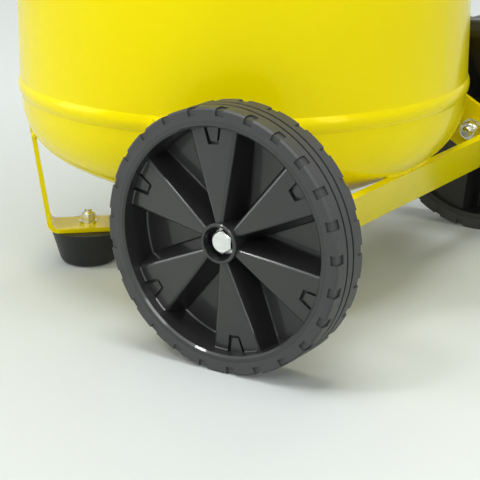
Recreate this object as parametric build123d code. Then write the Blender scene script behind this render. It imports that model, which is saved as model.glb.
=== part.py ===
from build123d import *
import os
from math import asin, cos, hypot, pi, radians, sin, sqrt, tan

# Vertical air compressor on two wheels: an upright receiver with a direct-drive piston pump on top.
# Units are millimetres. Everything is laid out about the tank axis, +X to the wheels, Z up from the
# ground, and write() shifts it so that the origin is under the middle of the whole machine.

# --- tank ---------------------------------------------------------------------------------------
tank_radius = 154.0          # outside of the rolled shell
tank_wall = 2.5
barrel_length = 600.0        # between the two knuckle tangents
crown_radius = 266.0         # dished heads
knuckle_radius = 43.5
ground_clearance = 52.0      # lowest point of the lower head
joint_overlap = 11.0         # height of the belled shell end that laps over a head
joint_clearance = 0.05
lap_swell = 1.5              # how far the lap stands out of the shell
lap_edge = 0.4               # metal left at the lap's rolled edge
head_radius = tank_radius - 0.8

# --- wheels -------------------------------------------------------------------------------------
wheel_radius = 80.0
tyre_width = 29.0
tyre_depth = 9.9             # rubber between the rim's seat and the tread
tyre_seat_clearance = 0.05
lip_height = 2.0             # rim lip that holds the tyre
lip_thickness = 2.6
barrel_wall = 2.4
floor_depth = 23.0           # from the wheel's front plane to the floor between the spokes
web_thickness = 2.6
hub_radius = 12.2
counterbore_radius = 10.3
counterbore_depth = 10.4
spoke_count = 6
spoke_turn = 37.0            # where the first spoke stands, degrees above +X
spoke_draft = 16.0
spoke_inner_edge = 2.2       # rounding of a spoke's long edges, at the hub and at the barrel
spoke_outer_edge = 3.2
spoke_wall = 2.6
spoke_edge_steps = 6         # flat strips that each rounded edge is made of
foot_flare = 0.8             # small bevels where spokes, floor and barrel meet
tab_length = 8.4             # tab at a spoke's outer end, with a slot round three sides of it
tab_end_half = 2.2
tab_slope = 0.24             # how fast its half width grows towards the barrel
tab_slot = 1.9
tab_slot_depth = 2.3
tab_drop = 0.4               # its face under the spoke's
tab_clear = 4.8              # wall kept behind the tab, under the spoke's face
pocket_reach = 6.5           # shoulder pockets: length across the tread, drop down the side, depth
pocket_drop = 4.6
pocket_depth = 1.1
pocket_half = 2.8
tread_block_count = 25
tread_turn = 2.6
wheel_setback = 105.0        # axle behind the tank axis

# --- fasteners ----------------------------------------------------------------------------------
m8_radius = 4.0
m8_flats = 13.0
m8_head = 5.3
m8_nut = 8.0
m6_radius = 3.0
m6_flats = 10.0
m6_head = 4.0
washer_thickness = 1.6
washer_margin = 0.5          # washer outside the hexagon's corners
hole_clearance = 0.4
running_clearance = 0.06

# --- straps under the tank ----------------------------------------------------------------------
axle_strap_width = 36.0
axle_strap_thickness = 4.0
axle_strap_tilt = 29.0       # the strap falls towards the rear
axle_to_bar = 22.0           # from the axle bolts to the outside of the cross bar
axle_strap_inset = 3.5       # how far the arms' inside sits inside the shell's radius
axle_strap_end = 27.0        # where the arms end, behind the tank axis
wheel_gap = 3.5              # between an arm and the tyre
side_clearance = 0.3         # between a wheel's hub and the arm
foot_height = 25.6
foot_top_radius = 26.6
foot_bottom_radius = 19.2
foot_edge_radius = 6.5
foot_inset = 43.0            # centre of a foot, inwards from the shell's outside
foot_angle = 34.4            # either side of straight ahead
foot_strap_skew = 8.0        # the strap's turn away from the radial line
foot_strap_width = 30.0
foot_strap_thickness = 3.0
foot_strap_length = 57.0
foot_leg_splay = 7.7

# --- pump and motor -----------------------------------------------------------------------------
saddle_gap = 18.0            # saddle plate above the top of the tank
saddle_length = 176.0
saddle_width = 200.0
saddle_thickness = 3.0
isolator_height = 14.0
isolator_radius = 11.0
mount_flange = 8.0
mount_half_x = 62.0
mount_half_y = 70.0
motor_clearance = 11.0       # under the motor's fins
shaft_radius = 7.5
case_radius = 55.0
case_wall = 7.0
case_length = 72.0
cover_thickness = 8.0
cover_bolts = 6
cylinder_bore = 25.0         # radius
cylinder_height = 60.0
deck_clearance = 3.0         # cylinder deck above the motor's barrel
fin_half = 40.0
crank_throw = 19.0
crank_pin_radius = 11.0
crown_height = 8.0
piston_clearance = 0.8       # between piston and valve plate at the top of the stroke
plate_thickness = 6.0
head_height = 34.0
motor_length = 120.0
motor_bore = 57.0            # radius
motor_wall = 4.0
motor_fin = 6.0
stator_length = 64.0
rotor_radius = 30.0
air_gap = 0.4
shield_depth = 20.0
bearing_radius = 17.5
bearing_width = 11.0
fan_width = 16.0
fan_blades = 10
fan_tip_gap = 11.5
fan_cover_margin = 5.0       # cover outside the motor's barrel
fan_cover_depth = 42.0
fan_cover_wall = 2.5
grille_start = 24.0
grille_pitch = 10.0

# --- controls -----------------------------------------------------------------------------------
control_height = 640.0       # manifold axis above the ground
port_length = 16.0           # tank port standing out of the shell
nipple_gap = 12.0            # hexagon of a nipple between two fittings
manifold_size = 34.0
manifold_half = 52.0
switch_half_x = 27.0
switch_half_y = 30.0
switch_height = 78.0
switch_knob_radius = 12.0
regulator_radius = 20.0
regulator_half = 20.0
regulator_knob_radius = 18.0
gauge_radius = 25.0
gauge_case = 18.0            # depth of a gauge's case with its bezel
gauge_neck = 20.0            # from a fitting's face to the case
gauge_thread = 6.0
gauge_offset = -24.0         # tank gauge along the manifold
pointer_rest = 135.0
safety_offset = 42.0
coupler_bore = 5.15
coupler_depth = 22.0
tube_radius = 5.0
valve_height = 34.0
check_inset = 23.0           # check valve, inwards from the head's edge
reset_radius = 5.0

# --- handle -------------------------------------------------------------------------------------
handle_tube_radius = 12.5
handle_tube_wall = 1.5
handle_angle = 40.0          # either side of straight behind
handle_foot = 560.0
handle_top = 930.0
handle_reach = 195.0
grip_length = 150.0
grip_wall = 4.0
handle_standoff = 3.0

# --- worked out ---------------------------------------------------------------------------------
knuckle_drop = sqrt((crown_radius - knuckle_radius) ** 2 - (head_radius - knuckle_radius) ** 2)
lower_tangent = ground_clearance + crown_radius - knuckle_drop
upper_tangent = lower_tangent + barrel_length
tank_middle = (lower_tangent + upper_tangent) / 2
tank_top = 2 * tank_middle - ground_clearance
arm_inside = tank_radius - axle_strap_inset
arm_outside = arm_inside + axle_strap_thickness
wheel_inside = arm_outside + wheel_gap
wheel_outside = wheel_inside + tyre_width
saddle_top = tank_top + saddle_gap + saddle_thickness
pump_base = saddle_top + isolator_height
motor_radius = motor_bore + motor_wall
shaft_z = pump_base + motor_clearance + motor_fin + motor_radius
fan_cover_radius = motor_radius + fan_cover_margin
fan_radius = fan_cover_radius - fan_cover_wall - fan_tip_gap
foot_pitch_radius = tank_radius - foot_inset
cylinder_y = -mount_half_y - 8
case_front = cylinder_y - case_length / 2
case_back = cylinder_y + case_length / 2
motor_end = case_back + motor_length
shield_start = motor_end - 4
cowl_start = motor_end + 2
fan_end = cowl_start + fan_cover_depth - 7
deck_z = shaft_z + motor_radius + deck_clearance
piston_z = deck_z + cylinder_height - piston_clearance - crown_height
head_z = deck_z + cylinder_height + plate_thickness
rear_reach = handle_reach + handle_tube_radius + grip_wall
switch_x = -(tank_radius + port_length + nipple_gap + manifold_size / 2)
front_reach = -switch_x + regulator_radius + gauge_neck + gauge_case
tank_x = (front_reach - rear_reach) / 2
switch_base = control_height + manifold_size / 2 + nipple_gap
regulator_y = manifold_half + 12 + regulator_radius
unloader_z = switch_base + 22
check_xy = (-sqrt((head_radius - check_inset) ** 2 - cylinder_y ** 2), cylinder_y)
check_drop = crown_radius - sqrt(crown_radius ** 2 - hypot(*check_xy) ** 2)
check_z = tank_top - check_drop + 9
outlet_z = head_z + 14
outlet_reach = fin_half + 8


def write(node, *solids):
    """Move the pieces to the machine's origin and write them as one STEP file."""
    moved = [Pos(tank_x, 0, 0) * solid for shape in solids for solid in shape.solids()]
    shape = moved[0] if len(moved) == 1 else Compound(moved)
    export_step(shape, f"parts/{node}.step")


def along_x(shape):
    """Turn a shape drawn up +Z to point along +X."""
    return Rot(0, 90, 0) * shape


def along_front(shape):
    """Turn a shape drawn up +Z to point along -X."""
    return Rot(0, -90, 0) * shape


def along_y(shape):
    """Turn a shape drawn up +Z to point along +Y."""
    return Rot(-90, 0, 0) * shape


def along_left(shape):
    """Turn a shape drawn up +Z to point along -Y, with its own +Y turned up."""
    return Rot(90, 0, 0) * shape


def rod(radius, bottom, top):
    return Pos(0, 0, bottom) * Cylinder(radius, top - bottom, align=(Align.CENTER, Align.CENTER, Align.MIN))


def ring(outer, inner, bottom, top):
    return rod(outer, bottom, top) - rod(inner, bottom - 1, top + 1)


def block(x0, x1, y0, y1, z0, z1):
    box = Box(x1 - x0, y1 - y0, z1 - z0, align=(Align.MIN, Align.MIN, Align.MIN))
    return Pos(x0, y0, z0) * box


def turned(*points):
    """Revolve a closed half profile, given as (radius, height) points, about Z."""
    face = make_face(Plane.XZ * Polyline(*points, close=True))
    return revolve(face, Axis.Z)


def hexagon(flats, bottom, top):
    """A hexagon bar with a turned chamfer at its upper end and a corner pointing along +Y."""
    corner = flats / 2 / cos(pi / 6)
    bar = extrude(RegularPolygon(corner, 6, rotation=30), top - bottom)
    cap = turned((0, 0), (corner + 1, 0), (corner + 1, top - bottom - 1.6), (flats / 2 - 0.6, top - bottom),
                 (0, top - bottom))
    return Pos(0, 0, bottom) * (bar & cap)


def hex_bolt(radius, flats, head, length):
    """A bolt hanging down -Z from the face under its head."""
    tip = turned((0, -length), (radius - 0.8, -length), (radius, -length + 0.8), (radius, 0), (0, 0))
    return hexagon(flats, 0, head) + tip


def washer(hole_radius, flats):
    outer = flats / 2 / cos(pi / 6) + washer_margin
    return ring(outer, hole_radius + hole_clearance / 2, 0, washer_thickness)


# --- tank ---------------------------------------------------------------------------------------
def dish(inset):
    """A solid dished head, open end up at the height of two joint overlaps above its tangent."""
    outside = head_radius - inset
    knuckle = knuckle_radius - inset
    crown = crown_radius - inset
    centre_r = head_radius - knuckle_radius
    crown_z = ground_clearance + crown_radius
    lean = asin(centre_r / (crown_radius - knuckle_radius))
    low = (crown * sin(lean), crown_z - crown * cos(lean))
    mid_crown = (crown * sin(lean / 2), crown_z - crown * cos(lean / 2))
    half = (pi / 2 - lean) / 2
    mid_knuckle = (centre_r + knuckle * cos(half), lower_tangent - knuckle * sin(half))
    with BuildSketch(Plane.XZ) as profile:
        with BuildLine():
            ThreePointArc((0, crown_z - crown), mid_crown, low)
            ThreePointArc(low, mid_knuckle, (outside, lower_tangent))
            Polyline((outside, lower_tangent), (outside, lower_tangent + 2 * joint_overlap),
                     (0, lower_tangent + 2 * joint_overlap), (0, crown_z - crown))
        make_face()
    return revolve(profile.sketch, Axis.Z)


seam_low = lower_tangent + 4.0
lap_radius = head_radius + joint_clearance
belled_radius = tank_radius + lap_swell


def head_plate():
    """The lower dished head, a pressing of even thickness whose flange runs up inside the shell."""
    skin = dish(0) - dish(tank_wall)
    return skin - rod(tank_radius, seam_low + joint_overlap - 2, upper_tangent)


def tank_body():
    """The solid outline of the closed tank, for trimming what is welded on to it."""
    heads = dish(0) + mirror(dish(0), Plane.XY.offset(tank_middle))
    return heads + rod(tank_radius, seam_low, 2 * tank_middle - seam_low)


def shell():
    """The rolled shell, its ends swelled to a soft ring that laps over the heads."""
    low, top = seam_low, seam_low + joint_overlap
    bore = tank_radius - tank_wall
    with BuildSketch(Plane.XZ) as profile:
        with BuildLine():
            ThreePointArc((lap_radius + lap_edge, low), (belled_radius, (low + top) / 2), (tank_radius, top))
            Polyline((tank_radius, top), (tank_radius, tank_middle), (bore, tank_middle), (bore, top + 5),
                     (lap_radius, top - 1), (lap_radius, low), (lap_radius + lap_edge, low))
        make_face()
    half = revolve(profile.sketch, Axis.Z)
    return half + mirror(half, Plane.XY.offset(tank_middle))


def port(radius, bore):
    """A weld-on socket drawn up +Z from the tank's outside."""
    return turned((bore, -tank_wall), (radius, -tank_wall), (radius, port_length - 1.5),
                  (radius - 1.5, port_length), (bore, port_length))


def tank_parts():
    control_port = Pos(-tank_radius, 0, control_height) * along_front(port(15, 9))
    body = shell() - Pos(-tank_radius, 0, control_height) * along_front(rod(9, -9, 9)) + control_port
    write("tank_shell", body)
    boss = Pos(0, 0, ground_clearance) * Rot(180, 0, 0) * turned(
        (6.2, -tank_wall), (13, -tank_wall), (13, 9), (12, 10), (6.2, 10))
    low = head_plate() - rod(6.2, 0, lower_tangent) + (boss - dish(tank_wall))
    write("lower_head", low)
    high = mirror(head_plate(), Plane.XY.offset(tank_middle))
    drop = crown_radius - sqrt(crown_radius ** 2 - hypot(*check_xy) ** 2)
    socket = Pos(*check_xy, tank_top - drop) * turned((7, -6), (13, -6), (13, 8), (12, 9), (7, 9))
    inner = mirror(dish(tank_wall), Plane.XY.offset(tank_middle))
    high = high - Pos(*check_xy, 0) * rod(7, tank_middle, tank_top) + (socket - inner)
    write("upper_head", high)


# --- wheels -------------------------------------------------------------------------------------
rim_radius = wheel_radius - tyre_depth
barrel_inside = rim_radius - barrel_wall


def spoke_face(radius):
    """Height of the spokes' sloping faces under the wheel's front plane."""
    return -2.6 - 0.081 * (radius - hub_radius)


def spoke_half_width(radius, height):
    """Half the width of a spoke at a radius and a height; its side walls lean out by the draft."""
    return 0.256 * (radius - 3.1) + tan(radians(spoke_draft)) * (spoke_face(radius) - height)


def spoke_section(radius, low, rounding=0.0, inset=0.0):
    """Corners of a spoke's section at a radius, from a low height to its face, its upper corners softened."""
    top = spoke_face(radius) - inset
    turn = 90 - spoke_draft
    centre = spoke_half_width(radius, top) - inset - rounding * tan(radians(turn / 2))
    steps = spoke_edge_steps if rounding else 0
    right = [(spoke_half_width(radius, low) - inset, low)]
    for step in range(steps + 1):
        angle = radians(spoke_draft + turn * step / max(steps, 1))
        right.append((centre + rounding * cos(angle), top - rounding + rounding * sin(angle)))
    left = [(-y, z) for y, z in reversed(right)]
    return [(radius, y, z) for y, z in right + left]


def spoke_foot(radius):
    """Corners of the bevelled foot that a spoke stands on, level with the floor."""
    low, top = -floor_depth - 1, -floor_depth + foot_flare
    half = spoke_half_width(radius, top)
    right = [(half + foot_flare + 1, low), (half, top)]
    return [(radius, y, z) for y, z in right + [(-y, z) for y, z in reversed(right)]]


def prism_between(near, far):
    """A solid with flat faces between two sections of as many corners each."""
    count = len(near)
    sides = [(near[i], near[(i + 1) % count], far[(i + 1) % count], far[i]) for i in range(count)]
    return Solid(Shell([Face(Wire.make_polygon(corners, close=True)) for corners in (near, far, *sides)]))


def tab_outline(margin=0.0):
    """A tab's outline, or with a margin the outline of the slot round it."""
    near, far = barrel_inside - tab_length - margin, barrel_inside + 0.5
    half = tab_end_half + margin - margin * tab_slope
    wide = half + (far - near) * tab_slope
    return make_face(Polyline((near, -half), (far, -wide), (far, wide), (near, half), close=True))


def end_bevel():
    """The small bevel where a spoke's face runs into the barrel, over the spoke's width."""
    face = spoke_face(barrel_inside)
    body = ring(barrel_inside + 0.5, barrel_inside - foot_flare, face - 1, face + foot_flare)
    top_edge = body.edges().filter_by(GeomType.CIRCLE).sort_by(Axis.Z)[-2:].sort_by(SortBy.RADIUS)[0]
    body = chamfer(top_edge, foot_flare * 0.98)
    half = spoke_half_width(barrel_inside, face) - spoke_outer_edge * 0.5
    return body & block(barrel_inside - 15, barrel_inside + 1, -half, half, face - 2, 1)


def spoke():
    """One raised wedge of the rim: drafted walls, a sloping face with soft edges and a tab at its end."""
    low, inner, outer = -floor_depth - 1, hub_radius - 1.6, barrel_inside + barrel_wall
    solid = prism_between(spoke_section(inner, low, spoke_inner_edge),
                          spoke_section(outer, low, spoke_outer_edge))
    solid = solid + prism_between(spoke_foot(inner), spoke_foot(outer))
    solid = solid & rod(barrel_inside + barrel_wall / 2, low, 1)
    solid = solid + end_bevel()
    face = spoke_face(barrel_inside - tab_length / 2)
    slot = extrude(tab_outline(tab_slot) - tab_outline(), 10)
    solid = solid - Pos(0, 0, face - tab_slot_depth) * slot
    return solid - Pos(0, 0, face - tab_drop) * extrude(tab_outline(), 10)


def spoke_hollow():
    """The hollow that a moulded spoke has behind it, leaving an even wall inside the wedge."""
    low, inner, outer = -tyre_width - 1, hub_radius + 8, barrel_inside + 1
    solid = prism_between(spoke_section(inner, low, inset=spoke_wall),
                          spoke_section(outer, low, inset=spoke_wall))
    reach = tab_length + tab_slot + 1
    half = tab_end_half + tab_slot + (reach + 1) * tab_slope
    tab_skin = rod(barrel_inside, spoke_face(barrel_inside - reach) - tab_clear, 1)
    solid = solid & rod(barrel_inside, low, 1)
    return solid - (tab_skin & block(barrel_inside - reach, barrel_inside + 9, -half, half, -20, 1))


def rim():
    """The moulded wheel: hub, dished floor, barrel with a lip each side and six hollow wedge spokes."""
    lip = rim_radius + lip_height
    inner_front = barrel_inside + 0.8
    body = turned(
        (hub_radius - 4, -floor_depth), (barrel_inside - foot_flare, -floor_depth),
        (barrel_inside, -floor_depth + foot_flare), (inner_front, -1.2), (inner_front + 1.2, 0), (lip, 0),
        (lip, -lip_thickness),
        (rim_radius, -lip_thickness), (rim_radius, -tyre_width + lip_thickness),
        (lip, -tyre_width + lip_thickness), (lip, -tyre_width), (barrel_inside, -tyre_width), (barrel_inside, -floor_depth - web_thickness),
        (hub_radius - 4, -floor_depth - web_thickness))
    hub_boss = wheel_gap - side_clearance
    hub = turned((0, -tyre_width - hub_boss), (hub_radius - 1, -tyre_width - hub_boss),
                 (hub_radius, -tyre_width - hub_boss + 1), (hub_radius, -0.5), (hub_radius - 0.5, 0), (0, 0))
    body = body + hub
    one, hollow = spoke(), spoke_hollow()
    for index in range(spoke_count):
        body = body + Rot(0, 0, spoke_turn + index * 360 / spoke_count) * one
    for index in range(spoke_count):
        body = body - Rot(0, 0, spoke_turn + index * 360 / spoke_count) * hollow
    body = body - rod(counterbore_radius, -counterbore_depth, 5)
    return body - rod(m8_radius + running_clearance, -tyre_width - 9, 5)


def tyre():
    """The solid rubber tyre: two grooves round a centre rib and a pocket at each shoulder of the blocks."""
    seat = rim_radius + tyre_seat_clearance
    lip = seat + lip_height
    shoulder, groove_depth, groove_half = 1.2, 1.3, 0.8
    groove_middle = [-tyre_width / 2 + 3.3, -tyre_width / 2 - 3.3]
    body = turned(
        (seat, -lip_thickness - 0.05), (lip, -lip_thickness - 0.05), (lip, 0), (wheel_radius - shoulder, 0),
        (wheel_radius, -shoulder), (wheel_radius, -tyre_width + shoulder),
        (wheel_radius - shoulder, -tyre_width), (lip, -tyre_width),
        (lip, -tyre_width + lip_thickness + 0.05), (seat, -tyre_width + lip_thickness + 0.05))
    for middle in groove_middle:
        body = body - ring(wheel_radius + 1, wheel_radius - groove_depth, middle - groove_half,
                           middle + groove_half)
    floor = wheel_radius - pocket_depth
    pocket = block(wheel_radius - pocket_drop, floor, -pocket_half, pocket_half, -pocket_depth, 1)
    pocket = pocket + block(floor, wheel_radius + 1, -pocket_half, pocket_half, -pocket_reach, 1)
    pockets = []
    for index in range(tread_block_count):
        turn = Rot(0, 0, tread_turn + index * 360 / tread_block_count)
        pockets.append(turn * pocket)
        pockets.append(turn * mirror(pocket, Plane.XY.offset(-tyre_width / 2)))
    return body - pockets


def place_left(shape):
    """Put a wheel piece, drawn about +Z with its front plane at 0, on the left end of the axle."""
    return Pos(wheel_setback, -wheel_outside, wheel_radius) * along_left(shape)


def both_sides(shape):
    return [shape, mirror(shape, Plane.XZ)]


def wheels():
    left_rim, left_tyre = place_left(rim()), place_left(tyre())
    write("left_rim", left_rim)
    write("left_tyre", left_tyre)
    write("right_rim", mirror(left_rim, Plane.XZ))
    write("right_tyre", mirror(left_tyre, Plane.XZ))


# --- straps, feet and their fasteners -----------------------------------------------------------
axle_bolt_length = 40.0


def axle_fasteners():
    """A bolt through each wheel into its arm, with a washer under the head and a lock nut inside."""
    washer_seat = -counterbore_depth + side_clearance
    under_head = washer_seat + washer_thickness
    bolt = Pos(0, 0, under_head) * hex_bolt(m8_radius, m8_flats, m8_head, axle_bolt_length)
    write("axle_bolts", *both_sides(place_left(bolt)))
    head_washer = Pos(0, 0, washer_seat) * washer(m8_radius, m8_flats)
    arm_face = -(wheel_outside - arm_inside)
    nut_washer = Pos(0, 0, arm_face - washer_thickness) * washer(m8_radius, m8_flats)
    nut = hexagon(m8_flats, 0, m8_nut - 2) + ring(m8_flats / 2 - 0.7, m8_radius, m8_nut - 2.2, m8_nut)
    nut = Pos(0, 0, arm_face - washer_thickness) * Rot(180, 0, 0) * (nut - rod(m8_radius, -1, m8_nut + 1))
    pieces = [head_washer, nut_washer, nut]
    write("axle_nuts", *[side for piece in pieces for side in both_sides(place_left(piece))])


def axle_bracket():
    """One flat bar bent to a U: a bar behind the wheels and two arms that fall back from the tank."""
    arm_length = (wheel_setback - axle_strap_end) / cos(radians(axle_strap_tilt))
    bend = 7.0
    outer = Polyline((-arm_length, -arm_outside), (axle_to_bar, -arm_outside), (axle_to_bar, arm_outside),
                     (-arm_length, arm_outside), close=True)
    outer_face = make_face(outer)
    outer_face = fillet(outer_face.vertices().sort_by(Axis.X)[-2:], bend)
    inner_face = make_face(Polyline(
        (-arm_length - 1, -arm_inside), (axle_to_bar - axle_strap_thickness, -arm_inside),
        (axle_to_bar - axle_strap_thickness, arm_inside), (-arm_length - 1, arm_inside), close=True))
    inner_face = fillet(inner_face.vertices().sort_by(Axis.X)[-2:], bend - axle_strap_thickness)
    strap = Pos(0, 0, -axle_strap_width / 2) * extrude(outer_face - inner_face, axle_strap_width)
    hole = along_y(rod(m8_radius + hole_clearance / 2, -arm_outside - 5, arm_outside + 5))
    strap = strap - hole
    strap = Pos(wheel_setback, 0, wheel_radius) * Rot(0, axle_strap_tilt, 0) * strap
    strap = strap - rod(belled_radius + 0.02, seam_low - 0.02, seam_low + joint_overlap + 8)
    return strap - tank_body()


def foot_place(shape):
    """Put a piece drawn over the origin, +X outwards, at the left foot."""
    turn = Rot(0, 0, 180 + foot_angle)
    return turn * Pos(foot_pitch_radius, 0, 0) * Rot(0, 0, foot_strap_skew) * shape


def foot_bracket():
    """A thin strap bent to a U, its legs trimmed to the dished head and its base on the rubber foot."""
    rise = 90.0
    half = foot_strap_length / 2
    lean = rise * tan(radians(foot_leg_splay))
    t = foot_strap_thickness
    bend = 8.0
    outer = make_face(Polyline((-half - lean, rise), (-half, 0), (half, 0), (half + lean, rise), close=True))
    outer = fillet(outer.vertices().sort_by(Axis.Y)[:2], bend)
    inner = make_face(Polyline((-half - lean + t, rise + 1), (-half + t, t), (half - t, t),
                               (half + lean - t, rise + 1), close=True))
    inner = fillet(inner.vertices().sort_by(Axis.Y)[:2], bend - t)
    strap = extrude(Plane.XZ * (outer - inner), foot_strap_width / 2, both=True)
    strap = Pos(0, 0, foot_height) * strap - rod(m6_radius + hole_clearance / 2, 0, rise)
    kept = foot_place(strap) - tank_body()
    return kept.solids().sort_by(Axis.Z)[0]


def foot():
    """A moulded rubber foot, wider at the top, with a socket for its bolt."""
    body = turned((0, 0), (foot_bottom_radius, 0), (foot_top_radius, foot_height), (0, foot_height))
    body = fillet(body.edges().group_by(Axis.Z)[0], foot_edge_radius)
    return body - rod(m6_radius, foot_height - 16, foot_height + 1)


def feet():
    strap, rubber = foot_bracket(), foot_place(foot())
    write("foot_brackets", *both_sides(strap))
    write("left_foot", rubber)
    write("right_foot", mirror(rubber, Plane.XZ))
    seat = foot_height + foot_strap_thickness
    bolt = Pos(0, 0, seat + washer_thickness) * hex_bolt(m6_radius, m6_flats, m6_head, 18)
    ring_washer = Pos(0, 0, seat) * washer(m6_radius, m6_flats)
    write("foot_bolts", *[side for piece in (bolt, ring_washer) for side in both_sides(foot_place(piece))])


# --- saddle -------------------------------------------------------------------------------------
def saddle():
    """A folded plate welded on the upper head: a flat top and two flanges trimmed to the dome."""
    half_l, half_w, t = saddle_length / 2, saddle_width / 2, saddle_thickness
    top = block(-half_l, half_l, -half_w, half_w, saddle_top - t, saddle_top)
    top = fillet(top.edges().filter_by(Axis.Z), 10)
    for x in (-mount_half_x, mount_half_x):
        for y in (-mount_half_y, mount_half_y):
            top = top - Pos(x, y, 0) * rod(m8_radius + hole_clearance / 2, saddle_top - 9, saddle_top + 9)
    flange = block(-half_l + 10, half_l - 10, half_w - t, half_w, tank_top - 70, saddle_top - t / 2)
    window = Pos(0, half_w, saddle_top - 26) * along_y(extrude(SlotOverall(70, 14), 20, both=True))
    flange = flange - window
    plate = top + flange + mirror(flange, Plane.XZ)
    return (plate - tank_body()).solids().sort_by(SortBy.VOLUME)[-1]


def pump_mounts():
    """Rubber isolators between saddle and pump, and the bolts that hold the pump down on them."""
    hole = m8_radius + hole_clearance / 2
    rubber = turned((hole, 0), (isolator_radius, 0), (isolator_radius, 3), (isolator_radius - 2, 5),
                    (isolator_radius - 2, isolator_height - 5), (isolator_radius, isolator_height - 3),
                    (isolator_radius, isolator_height), (hole, isolator_height))
    bolt = Pos(0, 0, pump_base + mount_flange) * hex_bolt(m8_radius, m8_flats, m8_head, 40)
    places = [(x, y) for x in (-mount_half_x, mount_half_x) for y in (-mount_half_y, mount_half_y)]
    write("pump_isolators", *[Pos(x, y, saddle_top) * rubber for x, y in places])
    nut = hexagon(m8_flats, 0, m8_nut - 1.5) - rod(m8_radius, -1, m8_nut)
    nut = Pos(0, 0, saddle_top - saddle_thickness) * Rot(180, 0, 0) * nut
    write("pump_bolts", *[Pos(x, y, 0) * piece for piece in (bolt, nut) for x, y in places])


# --- pump ---------------------------------------------------------------------------------------
def on_shaft(shape):
    """Place a shape drawn about +Z so that Z runs along the shaft, towards the motor, from y = 0."""
    return Pos(0, 0, shaft_z) * along_y(shape)


def crankcase():
    """The cast case: a round chamber, a sump down to the mounting flange and the cylinder deck."""
    body = on_shaft(rod(case_radius, case_front, case_back))
    half = case_radius - 6
    body = body + block(-half, half, case_front, case_back, pump_base, shaft_z)
    body = body + block(-fin_half + 4, fin_half - 4, case_front, case_back, shaft_z, deck_z)
    reach = mount_half_x + 14
    foot_half = 20.0
    flange = block(-reach, reach, -mount_half_y - foot_half, -mount_half_y + foot_half, pump_base,
                   pump_base + mount_flange)
    flange = fillet(flange.edges().filter_by(Axis.Z), 12)
    body = body + flange
    body = body + on_shaft(rod(motor_radius - 1, case_back - 10, case_back))
    for x in (-mount_half_x, mount_half_x):
        hole = rod(m8_radius + hole_clearance / 2, pump_base - 1, pump_base + mount_flange + 1)
        body = body - Pos(x, -mount_half_y, 0) * hole
    body = body - on_shaft(rod(case_radius - case_wall, case_front - 1, case_back - 12))
    body = body - Pos(0, cylinder_y, 0) * rod(cylinder_bore + 4.2, shaft_z, deck_z + 1)
    body = body - on_shaft(rod(bearing_radius, case_back - 13, case_back - 13 + bearing_width + 0.01))
    return body - on_shaft(rod(shaft_radius + 3, case_back - 13, case_back + 1))


def crankcase_cover():
    """The cast front cover with its bearing boss and a bolt head at each of its ears."""
    edge = case_radius
    plate = turned((0, 0), (edge, 0), (edge, cover_thickness - 2), (edge - 2, cover_thickness),
                   (26, cover_thickness), (23, cover_thickness + 7), (0, cover_thickness + 7))
    spigot = 4.0
    spigot_ring = ring(case_radius - case_wall - 0.1, case_radius - case_wall - 4, -spigot, 0.01)
    plate = plate + spigot_ring - rod(bearing_radius, -1, bearing_width) - rod(shaft_radius + 1, -1, 40)
    for index in range(cover_bolts):
        head = Pos(edge - 5.5, 0, cover_thickness - 0.5) * hexagon(8, 0, 3.5)
        plate = plate + Rot(0, 0, 30 + index * 360 / cover_bolts) * head
    return Pos(0, case_front, shaft_z) * along_left(plate)


def cylinder():
    """The cast cylinder: a liner with square cooling fins and a spigot into the case."""
    liner = ring(cylinder_bore + 4, cylinder_bore, deck_z - 10, deck_z + cylinder_height)
    fin_pitch, fin_thickness = 9.0, 3.0
    barrel = ring(cylinder_bore + 9, cylinder_bore, deck_z, deck_z + cylinder_height)
    body = liner + barrel
    count = int((cylinder_height - 8) // fin_pitch) + 1
    plate = Rectangle(2 * fin_half, 2 * fin_half)
    plate = fillet(plate.vertices(), 12) - Circle(cylinder_bore)
    for index in range(count):
        body = body + Pos(0, 0, deck_z + index * fin_pitch) * extrude(plate, fin_thickness)
    body = body + Pos(0, 0, deck_z + cylinder_height - 6) * extrude(plate, 6)
    body = Pos(0, cylinder_y, 0) * body
    return body - head_bolt_holes(deck_z - 1, deck_z + cylinder_height + 1)


def head_bolt_places():
    offset = fin_half - 10
    return [(x, cylinder_y + y) for x in (-offset, offset) for y in (-offset + 6, offset - 6)]


def head_bolt_holes(bottom, top):
    return [Pos(x, y, 0) * rod(m6_radius + hole_clearance / 2, bottom, top) for x, y in head_bolt_places()]


def piston_rod():
    """The rocking piston: a forged rod whose upper end is the piston, clamped round its cup seal."""
    big_z = shaft_z + crank_throw
    big_end = Pos(0, cylinder_y, big_z) * along_y(ring(crank_pin_radius + 5, crank_pin_radius, -7, 7))
    beam = block(-5, 5, cylinder_y - 4, cylinder_y + 4, big_z + crank_pin_radius + 3, piston_z)
    seal = cylinder_bore - 0.3
    disc = Pos(0, cylinder_y, piston_z) * turned(
        (0, -4), (seal - 5, -4), (seal - 2, 0), (seal, 0), (seal, 3), (seal - 2, 3), (seal - 3, crown_height),
        (0, crown_height))
    return big_end + beam + disc


def crank():
    """The eccentric pin and its counterweight, held on the end of the motor shaft."""
    pin = Pos(0, cylinder_y, shaft_z + crank_throw) * along_y(rod(crank_pin_radius, -9, 12))
    web_start, web_end = cylinder_y + 10, cylinder_y + 20
    reach = case_radius - case_wall - 3
    web = on_shaft(rod(reach, web_start, web_end)) & block(-reach, reach, web_start, web_end, 0, shaft_z - 4)
    arm = block(-14, 14, web_start, web_end, shaft_z - 6, shaft_z + crank_throw + 4)
    web = web + arm + on_shaft(rod(14, web_start, web_end))
    return pin + web - on_shaft(rod(shaft_radius + running_clearance, web_start + 4, web_end + 1))


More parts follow.
